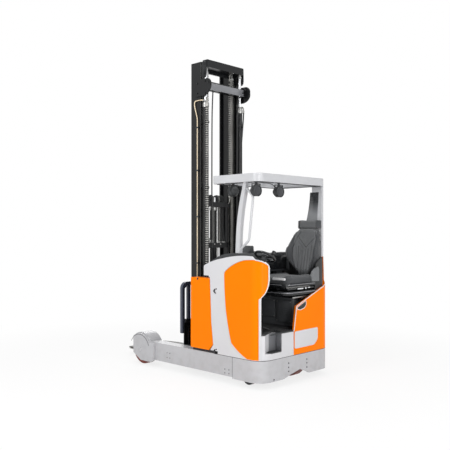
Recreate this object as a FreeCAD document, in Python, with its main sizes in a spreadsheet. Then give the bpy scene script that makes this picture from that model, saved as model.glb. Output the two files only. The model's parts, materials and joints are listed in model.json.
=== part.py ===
import FreeCAD, Part
import math
import os
import Sketcher
from FreeCAD import Placement, Rotation, Vector

# A reach truck. Millimetres. +X is forward, the way the forks point, +Y is the truck's left and +Z is up.
# The origin is on the floor, in the middle of the whole length and width.

doc = FreeCAD.newDocument("reach_truck")
sheet = doc.addObject("Spreadsheet::Sheet", "Sizes")

SIZES = {
    # body and chassis
    "body_width": 1200, "cab_length": 700, "corner_round": 150, "chassis_low": 65, "chassis_high": 292,
    "chassis_back": 405, "skirt_wall": 25, "deck_plate": 20, "beam_length": 620, "tub_front": 475,
    "panel": 28, "liner": 15, "seam": 3, "body_high": 1344, "side_high": 1221,
    "corner_high": 1320,
    # support arms and their wheels
    "arm_width": 130, "arm_low": 81, "channel_deep": 62, "load_wheel_radius": 177.5,
    "load_wheel_width": 106, "load_axle_ahead": 751, "load_axle_radius": 22, "load_hub_radius": 105,
    "arch_gap": 12, "guard_plate": 25, "guard_shell": 18, "guard_proud": 30, "guard_inner": 430,
    "guard_front": 124, "guard_back": 265, "guard_round_out": 195, "channel_end": 8, "bolt_x": 1425,
    "bolt_z": 168, "bolt_across": 50, "bolt_up": 55, "bolt_radius": 6, "bolt_deep": 30,
    "rear_bolt_x": 480, "rear_bolt_z": 130, "rear_bolt_across": 60, "rear_bolt_up": 40, "rear_bolt_radius": 5,
    "load_tread": 8,
    # battery
    "battery_length": 305, "battery_clear": 169, "battery_high": 1080,
    "battery_width": 1120, "tray_plate": 28, "cover_length": 343, "cover_high": 1099, "tray_lip": 15,
    # operator's place
    "floor_high": 560, "mat": 15, "floor_plate": 20, "step_deep": 190, "step_high": 360,
    "bulkhead_wall": 60, "bulkhead_high": 1250, "seat_base_high": 870, "column_radius": 32,
    "wheel_rim": 120, "rim_tube": 13, "knob_out": 98, "seat_base_side": 480, "seat_x": 240, "seat_wide": 430,
    "seat_low": 1000, "cushion_thick": 130, "back_low": 1105, "back_high": 1620,
    "panel_edge": 72, "rear_lap": 20, "hood_side": 110, "wheel_x": 121, "wheel_side": 200, "wheel_z": 1350,
    "wheel_lean": 30, "seat_plate": 16, "seat_bracket": 200, "back_wide": 408,
    "headrest_gap": 11, "headrest_high": 114, "console_low": 1150, "console_high": 1352,
    # overhead guard
    "guard_top": 2210, "guard_deep": 85, "guard_rear": 45, "guard_length": 705, "guard_inset": 13,
    "guard_frame": 62, "guard_round": 90, "guard_bar": 28, "guard_gaps": 7, "pillar_wide": 54,
    "pillar_rear": 87, "pillar_thick": 50, "pillar_inset": 75,
    "handle_tube": 13, "handle_bend": 60, "lamp_radius": 58, "lamp_long": 44,
    # drive wheel and caster
    "drive_radius": 171.5, "drive_width": 114, "drive_back": 255, "drive_side": 190, "drive_tread": 22,
    "spindle_radius": 75, "drive_arch": 207, "steer_plate": 25, "steer_plate_low": 400,
    "housing_wall": 16, "turntable_radius": 150, "leg_gap": 8, "leg_wide": 50, "drive_axle": 30,
    "leg_round": 85, "leg_lap": 10, "hub_boss": 70, "hub_flare": 8, "hub_dish": 18, "hub_lip": 8,
    "caster_radius": 80, "caster_width": 70, "caster_back": 250, "caster_inset": 150, "caster_trail": 35,
    "caster_pin": 24, "caster_gap": 5, "caster_plate_thick": 12, "caster_boss": 45, "caster_axle": 12,
    "caster_cheek": 8, "caster_lug": 22, "caster_hub": 28, "caster_tyre": 20, "caster_edge": 7,
    "shaft_gap": 0.1,
    # mast
    "mast_high": 3600, "mast_low": 95, "outer_drop": 15, "outer_half": 324, "rail_deep": 160,
    "rail_wide": 40, "rail_web": 12, "rail_flange": 20, "stage_step": 22, "stage_gap": 6, "stay_plate": 15,
    "roller_wide": 22, "roller_gap": 0.4, "roller_overlap": 2, "stub_radius": 20, "lift_gap": 0.3,
    "yoke_deep": 182, "yoke_round": 125, "yoke_drop": 420, "yoke_bar": 85, "yoke_bar_back": 114,
    "lift_behind": 50, "lift_side": 288, "barrel_radius": 33, "rod_radius": 20, "barrel_drop": 490,
    "head_bar": 85, "free_barrel_radius": 45, "free_rod_radius": 28, "free_barrel_high": 1900,
    "pulley_radius": 52, "anchor_low": 1410,
    # reach carriage
    "reach_half": 425, "reach_plate": 35, "reach_low": 100, "reach_high": 290, "reach_roller": 55,
    "reach_roller_wide": 46, "reach_rear": 660, "reach_span": 380, "reach_back": 74, "reach_front": 126,
    # fork carriage
    "plate_gap": 5, "carriage_plate": 12, "carriage_half": 330, "tilt_gap": 10, "tilt_plate": 15,
    "hinge_high": 120, "shift_plate": 15, "tilt_half": 300, "tilt_pin": 10, "fork_long": 1100,
    "fork_wide": 120, "fork_thick": 40, "fork_low": 65, "fork_side": 250, "rest_half": 370, "rest_low": 395,
    "rest_high": 1005, "rest_bar": 40,
}


class Size:
    """A length that knows its value and the sheet expression that gives it."""

    def __init__(self, value, text):
        self.value = value
        self.text = text

    def join(self, other, sign, value):
        text = other.text if isinstance(other, Size) else repr(float(other))
        return Size(value, f"({self.text} {sign} {text})")

    def __add__(self, other):
        return self.join(other, "+", self.value + number(other))

    def __sub__(self, other):
        return self.join(other, "-", self.value - number(other))

    def __mul__(self, other):
        return self.join(other, "*", self.value * number(other))

    def __truediv__(self, other):
        return self.join(other, "/", self.value / number(other))

    def __neg__(self):
        return self * -1

    def __radd__(self, other):
        return self + other

    def __rsub__(self, other):
        return -self + other

    __rmul__ = __mul__


def number(size):
    return size.value if isinstance(size, Size) else float(size)


def leg(long_side, side):
    """The other short side of a right-angled triangle."""
    value = math.sqrt(number(long_side) ** 2 - number(side) ** 2)
    return Size(value, f"sqrt({long_side.text} ^ 2 - {side.text} ^ 2)")


class Sheet:
    """The sheet's cells by alias, as sizes."""


for row, (alias, value) in enumerate(SIZES.items(), start=1):
    sheet.set(f"A{row}", str(value))
    sheet.setAlias(f"A{row}", alias)
doc.recompute()
s = Sheet()
for alias in SIZES:
    setattr(s, alias, Size(float(getattr(sheet, alias)), f"Sizes.{alias}"))

# Places that follow from the sizes.
half = s.body_width / 2
mast_x0 = s.cab_length + s.battery_length + s.battery_clear
inner_front = mast_x0 + 2 * s.stage_step + s.rail_deep
cross_x0 = inner_front + s.plate_gap
tilt_x0 = cross_x0 + s.carriage_plate + s.tilt_gap
shift_x0 = tilt_x0 + s.tilt_plate + s.plate_gap
shank_x0 = shift_x0 + s.shift_plate
fork_face = shank_x0 + s.fork_thick
total = fork_face + s.fork_long


def at(station):
    """X of a place measured forward from the rear face."""
    return station - total / 2


rear = at(0)
mast_x = at(mast_x0)
load_x = mast_x + s.load_axle_ahead
arm_inner = half - s.arm_width
load_z = s.load_wheel_radius
arch_outer = s.load_wheel_radius + s.arch_gap + s.guard_shell
arm_middle = (s.chassis_high + s.arm_low) / 2
guard_half = half - s.guard_inset
outer_tip = s.outer_half - s.rail_wide
middle_half = outer_tip - s.stage_gap
middle_tip = middle_half - s.rail_wide
inner_half = middle_tip - s.stage_gap
inner_tip = inner_half - s.rail_wide
roller_radius = s.rail_deep / 2 - s.rail_flange - s.roller_gap
lift_x = mast_x - s.lift_behind
free_x = mast_x + 2 * s.stage_step + s.stay_plate + s.plate_gap + s.pulley_radius
hinge_x = at(tilt_x0) + s.tilt_plate / 2
caster_plate = 2 * s.caster_radius + s.caster_gap + s.caster_plate_thick
AXES = {"XY": "XY_Plane", "XZ": "XZ_Plane", "YZ": "YZ_Plane"}
TURNS = {"XY": Rotation(), "XZ": Rotation(Vector(1, 0, 0), 90), "YZ": Rotation(0.5, 0.5, 0.5, 0.5)}
parts = {}


def bind(obj, prop, size):
    if isinstance(size, Size):
        obj.setExpression(prop, size.text)
        return
    target, _, last = prop.rpartition(".")
    if target == "Placement.Base":
        place = obj.Placement
        setattr(place.Base, last, float(size))
        obj.Placement = place
    else:
        setattr(obj, prop, float(size))


def draw(sketch, outlines):
    """Draws closed outlines. A corner is (x, y); with a third value, the edge that leaves it is an arc of
    that radius, turning left when it is positive. A circle is ("circle", x, y, radius)."""
    for outline in outlines:
        if outline[0] == "circle":
            circle(sketch, *outline[1:])
            continue
        first = sketch.GeometryCount
        count = len(outline)
        for k, corner in enumerate(outline):
            following = outline[(k + 1) % count]
            start = Vector(number(corner[0]), number(corner[1]), 0)
            end = Vector(number(following[0]), number(following[1]), 0)
            if len(corner) == 3:
                sketch.addGeometry(arc(start, end, number(corner[2])), False)
            else:
                sketch.addGeometry(Part.LineSegment(start, end), False)
        for k, corner in enumerate(outline):
            here, after = first + k, first + (k + 1) % count
            turned = len(corner) == 3 and number(corner[2]) < 0
            turned_after = (len(outline[(k + 1) % count]) == 3
                            and number(outline[(k + 1) % count][2]) < 0)
            sketch.addConstraint(Sketcher.Constraint("Coincident", here, 1 if turned else 2,
                                                     after, 2 if turned_after else 1))
            start_point = 2 if turned else 1
            for kind, size in (("DistanceX", corner[0]), ("DistanceY", corner[1])):
                fix(sketch, Sketcher.Constraint(kind, here, start_point, number(size)), size)
            if len(corner) == 3:
                radius = corner[2] if number(corner[2]) > 0 else -1 * corner[2]
                fix(sketch, Sketcher.Constraint("Radius", here, number(radius)), radius)


def circle(sketch, x, y, radius):
    index = sketch.addGeometry(Part.Circle(Vector(number(x), number(y), 0), Vector(0, 0, 1),
                                           number(radius)), False)
    fix(sketch, Sketcher.Constraint("DistanceX", index, 3, number(x)), x)
    fix(sketch, Sketcher.Constraint("DistanceY", index, 3, number(y)), y)
    fix(sketch, Sketcher.Constraint("Radius", index, number(radius)), radius)


def fix(sketch, constraint, size):
    index = sketch.addConstraint(constraint)
    if isinstance(size, Size):
        sketch.setExpression(f"Constraints[{index}]", size.text)


def arc(start, end, radius):
    """The shorter arc from start to end; a positive radius turns left."""
    chord = end - start
    rise = math.sqrt(max(radius * radius - chord.Length ** 2 / 4, 0))
    side = Vector(-chord.y, chord.x, 0).normalize() * (rise if radius > 0 else -rise)
    centre = (start + end) * 0.5 + side
    first, last = (start, end) if radius > 0 else (end, start)
    angles = [math.atan2(p.y - centre.y, p.x - centre.x) for p in (first, last)]
    return Part.ArcOfCircle(Part.Circle(centre, Vector(0, 0, 1), abs(radius)), *angles)


def sketch_on(body, plane, outlines, offset):
    sketch = body.newObject("Sketcher::SketchObject", body.Name + "_sketch")
    base = [f for f in body.Origin.OriginFeatures if f.Role == AXES[plane]][0]
    sketch.AttachmentSupport = [(base, "")]
    sketch.MapMode = "FlatFace"
    draw(sketch, outlines)
    if isinstance(offset, Size):
        sketch.setExpression("AttachmentOffset.Base.z", offset.text)
    else:
        sketch.AttachmentOffset = Placement(Vector(0, 0, float(offset)), Rotation())
    return sketch


def new_body(label):
    body = doc.addObject("PartDesign::Body", label)
    body.Label = label
    parts[label] = body
    return body


def pad(body, plane, outlines, low, high):
    """Adds the outlines to the body, from low to high along the plane's world axis."""
    sketch = sketch_on(body, plane, outlines, -high if plane == "XZ" else low)
    feature = body.newObject("PartDesign::Pad", body.Name + "_pad")
    feature.Profile = sketch
    bind(feature, "Length", high - low)
    return settle(feature, body)


def pocket(body, plane, outlines, low, high):
    """Cuts the outlines out of the body, from low to high along the plane's world axis."""
    before = body.Shape.Volume
    sketch = sketch_on(body, plane, outlines, -low if plane == "XZ" else high)
    feature = body.newObject("PartDesign::Pocket", body.Name + "_pocket")
    feature.Profile = sketch
    bind(feature, "Length", high - low)
    settle(feature, body)
    if body.Shape.Volume > before - 1:
        raise RuntimeError(f"{feature.Name} cuts nothing")
    return feature


def settle(feature, body):
    doc.recompute()
    for other in body.Group:
        if other.isDerivedFrom("Sketcher::SketchObject"):
            other.Visibility = False
    if body.Shape.isNull():
        raise RuntimeError(f"{feature.Name} has no shape")
    return feature


def turned(body, outline, centre):
    """Adds a solid of revolution about an axis along Y through the centre. The outline's corners are
    (distance along Y from the centre, distance from the axis)."""
    sketch = sketch_on(body, "YZ", [outline], centre[0])
    bind(sketch, "AttachmentOffset.Base.x", centre[1])
    bind(sketch, "AttachmentOffset.Base.y", centre[2])
    feature = body.newObject("PartDesign::Revolution", body.Name + "_turned")
    feature.Profile = sketch
    feature.ReferenceAxis = (sketch, ["H_Axis"])
    feature.Angle = 360.0
    return settle(feature, body)


def rounded(body, radius, test):
    """Rounds the edges of the body that pass the test, a function of the edge's middle and direction."""
    names = []
    for k, edge in enumerate(body.Shape.Edges, start=1):
        middle = edge.valueAt((edge.FirstParameter + edge.LastParameter) / 2)
        run = edge.tangentAt((edge.FirstParameter + edge.LastParameter) / 2)
        if test(middle, run):
            names.append(f"Edge{k}")
    if not names:
        raise RuntimeError(f"{body.Label} has no edge to round")
    base = body.Tip
    feature = body.newObject("PartDesign::Fillet", body.Name + "_fillet")
    feature.Base = (base, names)
    bind(feature, "Radius", radius)
    return settle(feature, body)


def rect(x0, x1, y0, y1):
    return [(x0, y0), (x1, y0), (x1, y1), (x0, y1)]


def prism(name, plane, outlines, low, high):
    """A solid of its own, for the booleans, from low to high along the plane's world axis."""
    sketch = doc.addObject("Sketcher::SketchObject", name + "_sketch")
    sketch.Placement = Placement(Vector(), TURNS[plane])
    axis = {"XY": "z", "XZ": "y", "YZ": "x"}[plane]
    draw(sketch, outlines)
    bind(sketch, f"Placement.Base.{axis}", high if plane == "XZ" else low)
    solid = doc.addObject("Part::Extrusion", name)
    solid.Base = sketch
    solid.DirMode = "Normal"
    solid.Solid = True
    bind(solid, "LengthFwd", high - low)
    return solid


def block(name, x0, x1, y0, y1, z0, z1):
    solid = doc.addObject("Part::Box", name)
    for prop, low, high in (("Length", x0, x1), ("Width", y0, y1), ("Height", z0, z1)):
        bind(solid, prop, high - low)
    for axis, low in (("x", x0), ("y", y0), ("z", z0)):
        bind(solid, f"Placement.Base.{axis}", low)
    return solid


def drum(name, axis, radius, low, high, first, second):
    """A cylinder along a world axis, from low to high, at its other two coordinates in X, Y, Z order."""
    solid = doc.addObject("Part::Cylinder", name)
    turn = {"x": Rotation(Vector(0, 1, 0), 90), "y": Rotation(Vector(1, 0, 0), -90), "z": Rotation()}
    solid.Placement = Placement(Vector(), turn[axis])
    bind(solid, "Radius", radius)
    bind(solid, "Height", high - low)
    others = [a for a in "xyz" if a != axis]
    for name_of, size in ((axis, low), (others[0], first), (others[1], second)):
        bind(solid, f"Placement.Base.{name_of}", size)
    return solid


def keep(label, solid):
    solid.Label = label
    parts[label] = solid
    return solid


def fuse(name, solids):
    joined = doc.addObject("Part::MultiFuse", name)
    joined.Shapes = solids
    joined.Refine = True
    return joined


def common(name, solids):
    shared = doc.addObject("Part::MultiCommon", name)
    shared.Shapes = solids
    return shared


def cut(name, base, tool):
    left = doc.addObject("Part::Cut", name)
    left.Base = base
    left.Tool = tool
    return left


def span(side, near, far):
    """A range of y, mirrored for the right side."""
    return (near, far) if side > 0 else (-1 * far, -1 * near)


SIDES = {"left": 1, "right": -1}


def chassis_frame():
    body = new_body("chassis_frame")
    back, neck, beam = at(s.chassis_back), arm_inner, at(s.beam_length)
    turn = s.corner_round
    wall = s.skirt_wall
    pad(body, "XY", [[
        (rear + turn, -half), (back, -half), (back, -neck), (beam, -neck), (beam, neck), (back, neck),
        (back, half), (rear + turn, half, turn), (rear, half - turn), (rear, turn - half, turn)]],
        s.chassis_low, s.chassis_high)
    inner, front = half - wall, at(s.tub_front)
    pocket(body, "XY", [[
        (rear + turn, -inner), (back - wall, -inner), (back - wall, wall - neck), (front, wall - neck),
        (front, neck - wall), (back - wall, neck - wall), (back - wall, inner),
        (rear + turn, inner, turn - wall), (rear + wall, half - turn),
        (rear + wall, turn - half, turn - wall)]],
        s.chassis_low, s.chassis_high - s.deck_plate)
    x, y = rear + s.drive_back, -s.drive_side
    pocket(body, "XY", [("circle", x, y, s.drive_arch)], s.chassis_high - s.deck_plate, s.chassis_high)
    arch_low = s.chassis_low - 1
    pocket(body, "YZ", [[(-200, arch_low), (240, arch_low), (130, s.chassis_low + 30),
                         (-40, s.chassis_low + 64), (-150, s.chassis_low + 24)]], rear, rear + wall)
    # the housing that carries the steered drive unit
    pad(body, "XY", [("circle", x, y, s.drive_arch + s.housing_wall), ("circle", x, y, s.drive_arch)],
        s.chassis_high - s.deck_plate / 2, s.steer_plate_low)
    pad(body, "XY", [("circle", x, y, s.drive_arch + s.housing_wall),
                     ("circle", x, y, s.spindle_radius + s.shaft_gap)],
        s.steer_plate_low, s.steer_plate_low + s.steer_plate)
    # the boss that carries the caster
    x, y = rear + s.caster_back, half - s.caster_inset
    pad(body, "XY", [("circle", x, y, s.caster_boss)], caster_plate + s.caster_gap,
        s.chassis_high - s.deck_plate / 2)
    pocket(body, "XY", [("circle", x, y, s.caster_pin + s.shaft_gap)], caster_plate, s.chassis_high)


def support_arm(name, side):
    body = new_body(f"{name}_support_arm")
    arch = arch_outer + s.lift_gap
    low_end = load_x - leg(arch, load_z - s.arm_low)
    high_end = load_x - leg(arch, s.chassis_high - load_z)
    pad(body, "XZ", [[(at(s.chassis_back), s.arm_low), (low_end, s.arm_low, -arch),
                      (high_end, s.chassis_high), (at(s.chassis_back), s.chassis_high)]],
        *span(side, arm_inner, half))
    reach = s.reach_roller + s.roller_gap
    pocket(body, "XZ", [rect(at(s.beam_length), load_x - arch_outer - s.channel_end,
                             arm_middle - reach, arm_middle + reach)],
           *span(side, arm_inner, arm_inner + s.channel_deep))
    # threaded holes in the outer face: the accessory pattern and the smaller one near the battery
    holes = bolt_circles(at(s.bolt_x), s.bolt_z, s.bolt_across, s.bolt_up, s.bolt_radius)
    holes += bolt_circles(at(s.rear_bolt_x), s.rear_bolt_z, s.rear_bolt_across, s.rear_bolt_up,
                          s.rear_bolt_radius)
    pocket(body, "XZ", holes, *span(side, half - s.bolt_deep, half))


def bolt_circles(x, z, across, up, radius):
    """Four holes on the corners of a rectangle centred on x and z."""
    return [("circle", x + i * across / 2, z + k * up / 2, radius) for i in (-1, 1) for k in (-1, 1)]


def wheel_guard(name, side):
    """The box round the load wheel: arched shell, inner and outer plates and the axle between them."""
    body = new_body(f"{name}_wheel_guard")
    shell_in = s.load_wheel_radius + s.arch_gap
    front = load_x + s.guard_front
    rise_out, rise_in = leg(arch_outer, s.guard_front), leg(shell_in, s.guard_front)
    foot = load_z - s.arm_low
    back_out, back_in = load_x - leg(arch_outer, foot), load_x - leg(shell_in, foot)
    inner_face = s.guard_inner + s.guard_plate
    pad(body, "XZ", [[
        (front, load_z + rise_in), (front, load_z + rise_out, arch_outer), (load_x - arch_outer, load_z,
                                                                           arch_outer),
        (back_out, s.arm_low), (back_in, s.arm_low, -shell_in), (load_x - shell_in, load_z, -shell_in)]],
        *span(side, s.guard_inner, half))
    top = leg(s.guard_round_out, s.guard_front)
    crest = s.guard_round_out * 0.76
    crest_high = leg(s.guard_round_out, crest)
    outer = [(front, load_z + top, s.guard_round_out), (load_x - crest, load_z + crest_high, -90),
             (load_x - s.guard_back + 35, s.chassis_high - 10), (load_x - s.guard_back, s.chassis_high - 10),
             (load_x - s.guard_back, s.arm_low), (load_x - s.guard_back + 60, s.arm_low - 28),
             (load_x - 20, s.arm_low - 28), (front, s.arm_low + 50)]
    pad(body, "XZ", [outer], *span(side, half, half + s.guard_proud))
    pad(body, "XZ", [[(front, load_z + rise_out, arch_outer), (load_x - arch_outer, load_z),
                      (load_x - arch_outer, s.arm_low - 10), (load_x - 20, s.arm_low - 28),
                      (front, s.arm_low + 50)]], *span(side, s.guard_inner, inner_face))
    pad(body, "XZ", [("circle", load_x, load_z, s.load_axle_radius)], *span(side, inner_face, half))


def load_wheel(name, side):
    body = new_body(f"{name}_load_wheel")
    centre_y = (s.guard_inner + s.guard_plate + half) / 2
    wide, bore, out = s.load_wheel_width / 2, s.load_axle_radius + s.shaft_gap, s.load_wheel_radius
    web = wide * 0.55
    edge = s.load_tread
    turned(body, [(-wide, s.load_hub_radius), (-web, s.load_hub_radius - 12), (-web, 48), (-wide, 44),
                  (-wide, bore), (wide, bore), (wide, 44), (web, 48), (web, s.load_hub_radius - 12),
                  (wide, s.load_hub_radius), (wide, out - edge), (wide - edge, out),
                  (edge - wide, out), (-wide, out - edge)], (load_x, side * centre_y, load_z))


def drive_unit():
    x, y = rear + s.drive_back, -s.drive_side
    wide = s.drive_width / 2
    leg_body = new_body("drive_leg")
    plate_low = 2 * s.drive_radius + s.arch_gap
    pad(leg_body, "XY", [("circle", x, y, s.turntable_radius)], plate_low, s.steer_plate_low - s.plate_gap)
    pad(leg_body, "XY", [("circle", x, y, s.spindle_radius)], s.steer_plate_low - s.plate_gap,
        s.floor_high - s.mat - s.floor_plate - 2 * s.plate_gap)
    near, far = y + wide + s.leg_gap, y + wide + s.leg_gap + s.leg_wide
    turn, top = s.leg_round, plate_low + s.leg_lap
    pad(leg_body, "XZ", [[(x - turn, s.drive_radius, turn), (x, s.drive_radius - turn, turn),
                          (x + turn, s.drive_radius), (x + turn, top), (x - turn, top)]], near, far)
    pad(leg_body, "XZ", [("circle", x, s.drive_radius, s.drive_axle)], y - wide, near + s.leg_wide / 2)
    hub = new_body("drive_hub")
    bore = s.drive_axle + s.shaft_gap
    rim = s.drive_radius - s.drive_tread
    boss, flare, dish = s.hub_boss, s.hub_boss + s.hub_flare, s.hub_dish
    turned(hub, [(-wide, bore), (wide, bore), (wide, boss), (wide - dish, flare), (wide - dish, rim - dish),
                 (wide, rim - s.hub_lip), (wide, rim), (-wide, rim), (-wide, rim - s.hub_lip),
                 (dish - wide, rim - dish), (dish - wide, flare), (-wide, boss)], (x, y, s.drive_radius))
    tyre = new_body("drive_tyre")
    out, edge = s.drive_radius, 10
    turned(tyre, [(-wide, rim), (wide, rim), (wide, out - edge), (wide - edge, out), (edge - wide, out),
                  (-wide, out - edge)], (x, y, s.drive_radius))


def caster():
    """A swivelling fork on a pin, and its wheel, whose axle trails the pin."""
    x, y = rear + s.caster_back, half - s.caster_inset
    fork = new_body("caster_fork")
    cheek_in = s.caster_width / 2 + s.caster_gap - 1
    cheek_out = cheek_in + s.caster_cheek
    axle_x, axle_z = x + s.caster_trail, s.caster_radius
    lug = s.caster_lug
    pad(fork, "XY", [rect(x - s.caster_boss, axle_x + lug, y - cheek_out, y + cheek_out)],
        caster_plate - s.caster_plate_thick, caster_plate)
    pad(fork, "XY", [("circle", x, y, s.caster_pin)], caster_plate, s.chassis_high - s.seam)
    high = caster_plate - s.caster_plate_thick
    for near, far in ((y + cheek_in, y + cheek_out), (y - cheek_out, y - cheek_in)):
        pad(fork, "XZ", [[(axle_x - lug, axle_z, lug), (axle_x, axle_z - lug, lug), (axle_x + lug, axle_z),
                          (axle_x + lug, high), (x - lug, high)]], near, far)
    pad(fork, "XZ", [("circle", axle_x, axle_z, s.caster_axle)], y - cheek_in, y + cheek_in)
    wheel = new_body("caster_wheel")
    wide, out, bore = s.caster_width / 2, s.caster_radius, s.caster_axle + s.shaft_gap
    hub, rim, edge = s.caster_hub, out - s.caster_tyre, s.caster_edge
    turned(wheel, [(-wide, bore), (wide, bore), (wide, hub), (wide - edge, hub + edge),
                   (wide - edge, rim - edge), (wide, rim), (wide, out - edge), (wide - edge, out),
                   (edge - wide, out), (-wide, out - edge), (-wide, rim), (edge - wide, rim - edge),
                   (edge - wide, hub + edge), (-wide, hub)],
           (axle_x, y, axle_z))


def battery_parts():
    tray = new_body("battery_tray")
    tray_top = s.chassis_high + s.tray_plate
    front = at(s.cab_length + s.battery_length + s.tray_lip)
    pad(tray, "XY", [rect(at(s.beam_length), front, 15 - half, half - 15)], s.chassis_high, tray_top)
    pad(tray, "XY", [rect(at(s.beam_length) - 120, at(s.beam_length), -300, 300)], s.chassis_high, tray_top)
    battery = new_body("battery")
    pad(battery, "XY", [rect(at(s.cab_length), at(s.cab_length + s.battery_length),
                             -s.battery_width / 2, s.battery_width / 2)], tray_top, s.battery_high)
    rounded(battery, 6, lambda p, run: p.z > s.battery_high.value - 1)
    for name, side in SIDES.items():
        cover = new_body(f"{name}_battery_cover")
        x0 = at(s.cab_length)
        x1 = x0 + s.cover_length
        pad(cover, "XZ", [[(x0 - 8, tray_top + 67), (x0 + 59, tray_top), (x1, tray_top), (x1, s.cover_high),
                           (x0 + 43, s.cover_high), (x0 + 18, tray_top + 300)]],
            *span(side, s.battery_width / 2 + 2, half))
        # the return of the cover across the top of the battery
        pad(cover, "XZ", [rect(x0 + 43, x1, s.battery_high + 3, s.cover_high)],
            *span(side, s.battery_width / 2 - 60, s.battery_width / 2 + 2))


def wrap(name, front, end_y, thick, low, high, side=1):
    """A thin wall along the side and round the rear corner to end_y on the rear face."""
    turn = s.corner_round
    outer = [(front, side * half), (rear + turn, side * half, side * turn), (rear, side * (half - turn))]
    inner = [(rear + thick, side * (half - turn), side * (thick - turn)),
             (rear + turn, side * (half - thick)), (front, side * (half - thick))]
    if end_y is not None:
        outer.append((rear, end_y))
        inner.insert(0, (rear + thick, end_y))
    return prism(name, "XY", [outer + inner], low, high)


def body_side_outline(grow):
    """The left side of the body, seen from the side: the head leans out over the battery."""
    top = s.body_high + grow
    x0 = at(s.cab_length)
    back = rear - 5
    low = s.chassis_high
    tray = s.chassis_high + s.tray_plate + s.seam
    return [(back, low), (at(s.beam_length) - s.seam, low), (at(s.beam_length) - s.seam, tray),
            (x0 + 32, tray), (x0 - 14, tray + 62), (x0 + 14, tray + 300), (x0 + 38, s.battery_high + 50),
            (x0 + 132, s.battery_high + 50, 2000), (x0 + 132, top - 108, 900), (x0 - 148, top - 22, 1500),
            (back, top)]


def cover_side_outline(inset):
    """The corner cover, seen from the side: a bowed front edge and a top that falls forward."""
    low = s.chassis_high + 2 * s.seam
    top = s.body_high - 26 - inset
    return [(rear - 5, low), (rear + 192, low, 700), (rear + 420 - inset, low + 142, 2400),
            (rear + 500 - inset, low + 490, 3500), (rear + 523 - inset, top - 160, 60),
            (rear + 508 - inset, top - 128, 620), (rear + 206, top, 3000), (rear - 5, top + 6)]


def rear_edge_outline(inset):
    """What is left of the left corner, seen from the rear: straight below, swept in towards the top."""
    low = s.chassis_high - 5
    corner_y = half - s.corner_round * (1 - 0.7071) + inset
    lip = half - 129 + inset
    top = s.body_high - inset
    return [(corner_y, low), (half + 5, low), (half + 5, top + 40), (half - 13, top - 18, 260),
            (half - 112, top - 70, 60), (lip, top - 100), (lip, top - 200, 300), (corner_y, top - 410)]


def left_body():
    low, high = s.chassis_high, s.body_high + 50
    shell = wrap("left_shell", at(s.cab_length) + 140, None, s.panel, low, high)
    side_view = prism("left_shell_side", "XZ", [body_side_outline(0)], half - s.corner_round - 20, half + 5)
    rear_view = prism("left_shell_rear", "YZ", [rear_edge_outline(0)], rear - 5, rear + 1200)
    whole = common("left_whole", [shell, side_view, rear_view])
    window = prism("left_cover_space", "XZ", [cover_side_outline(0)], half - s.corner_round - 20, half + 5)
    space_rear = prism("left_cover_space_rear", "YZ", [rear_edge_outline(12)], rear - 10, rear + 1210)
    space = common("left_space", [window, space_rear])
    keep("left_body_shell", cut("left_body_shell", whole, space))
    cover_wall = wrap("corner_wall", at(s.cab_length), None, s.panel, low + 1, high)
    cover_side = prism("corner_side", "XZ", [cover_side_outline(s.seam)],
                       half - s.corner_round - 20, half + 5)
    cover_rear = prism("corner_rear", "YZ", [rear_edge_outline(12 + s.seam)], rear - 5, rear + 1190)
    keep("left_corner_cover", common("left_corner_cover", [cover_wall, cover_side, cover_rear]))
    liner = wrap("liner_wall", at(s.cab_length) - s.bulkhead_wall - 2, None, s.panel + s.liner, low, high)
    inside = wrap("liner_space", at(s.cab_length), None, s.panel + 1, low - 5, high + 5)
    liner_side = prism("liner_side", "XZ", [[
        (rear - 5, s.floor_high), (at(s.cab_length), s.floor_high), (at(s.cab_length), s.body_high - 40),
        (at(s.cab_length) - 148, s.body_high - 34), (rear - 5, s.body_high - 12)]],
        half - s.corner_round - 20, half + 5)
    liner_rear = prism("liner_rear", "YZ", [rear_edge_outline(-10)], rear - 5, rear + 1195)
    bare = common("liner_bare", [cut("liner_layer", liner, inside), liner_side, liner_rear])
    keep("cab_liner", cut("cab_liner", bare, parts["dash_hood"]))


def right_body():
    low, high = s.chassis_high, s.corner_high
    side_panel = new_body("right_side_panel")
    pad(side_panel, "XZ", [[(rear + s.corner_round + s.rear_lap + s.seam, low),
                            (at(s.beam_length) - s.seam, low),
                            (at(s.beam_length) - s.seam, s.chassis_high + s.tray_plate + s.seam),
                            (at(s.cab_length) - 12, s.chassis_high + s.tray_plate + s.seam),
                            (at(s.cab_length) - 12, s.battery_high + 50),
                            (at(s.cab_length) - 70, s.bulkhead_high - 30),
                            (rear + s.corner_round + s.rear_lap + s.seam, s.side_high)]],
        -half, s.panel - half)
    wall = wrap("rear_wall", rear + s.corner_round + s.rear_lap, s.panel_edge, s.panel, low, high, side=-1)
    edge = s.panel_edge
    view = prism("rear_view", "YZ", [[
        (-half - 5, low), (edge, low), (edge - 8, s.floor_high), (edge - 49, 809), (half * -0.762, 988, -60),
        (half * -0.762 - 50, 997), (40 - half, 1000, 60), (20 - half, 1050), (13 - half, high),
        (-half - 5, high)]],
        rear - 5, rear + 200)
    keep("rear_panel", common("rear_panel", [wall, view]))


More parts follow.
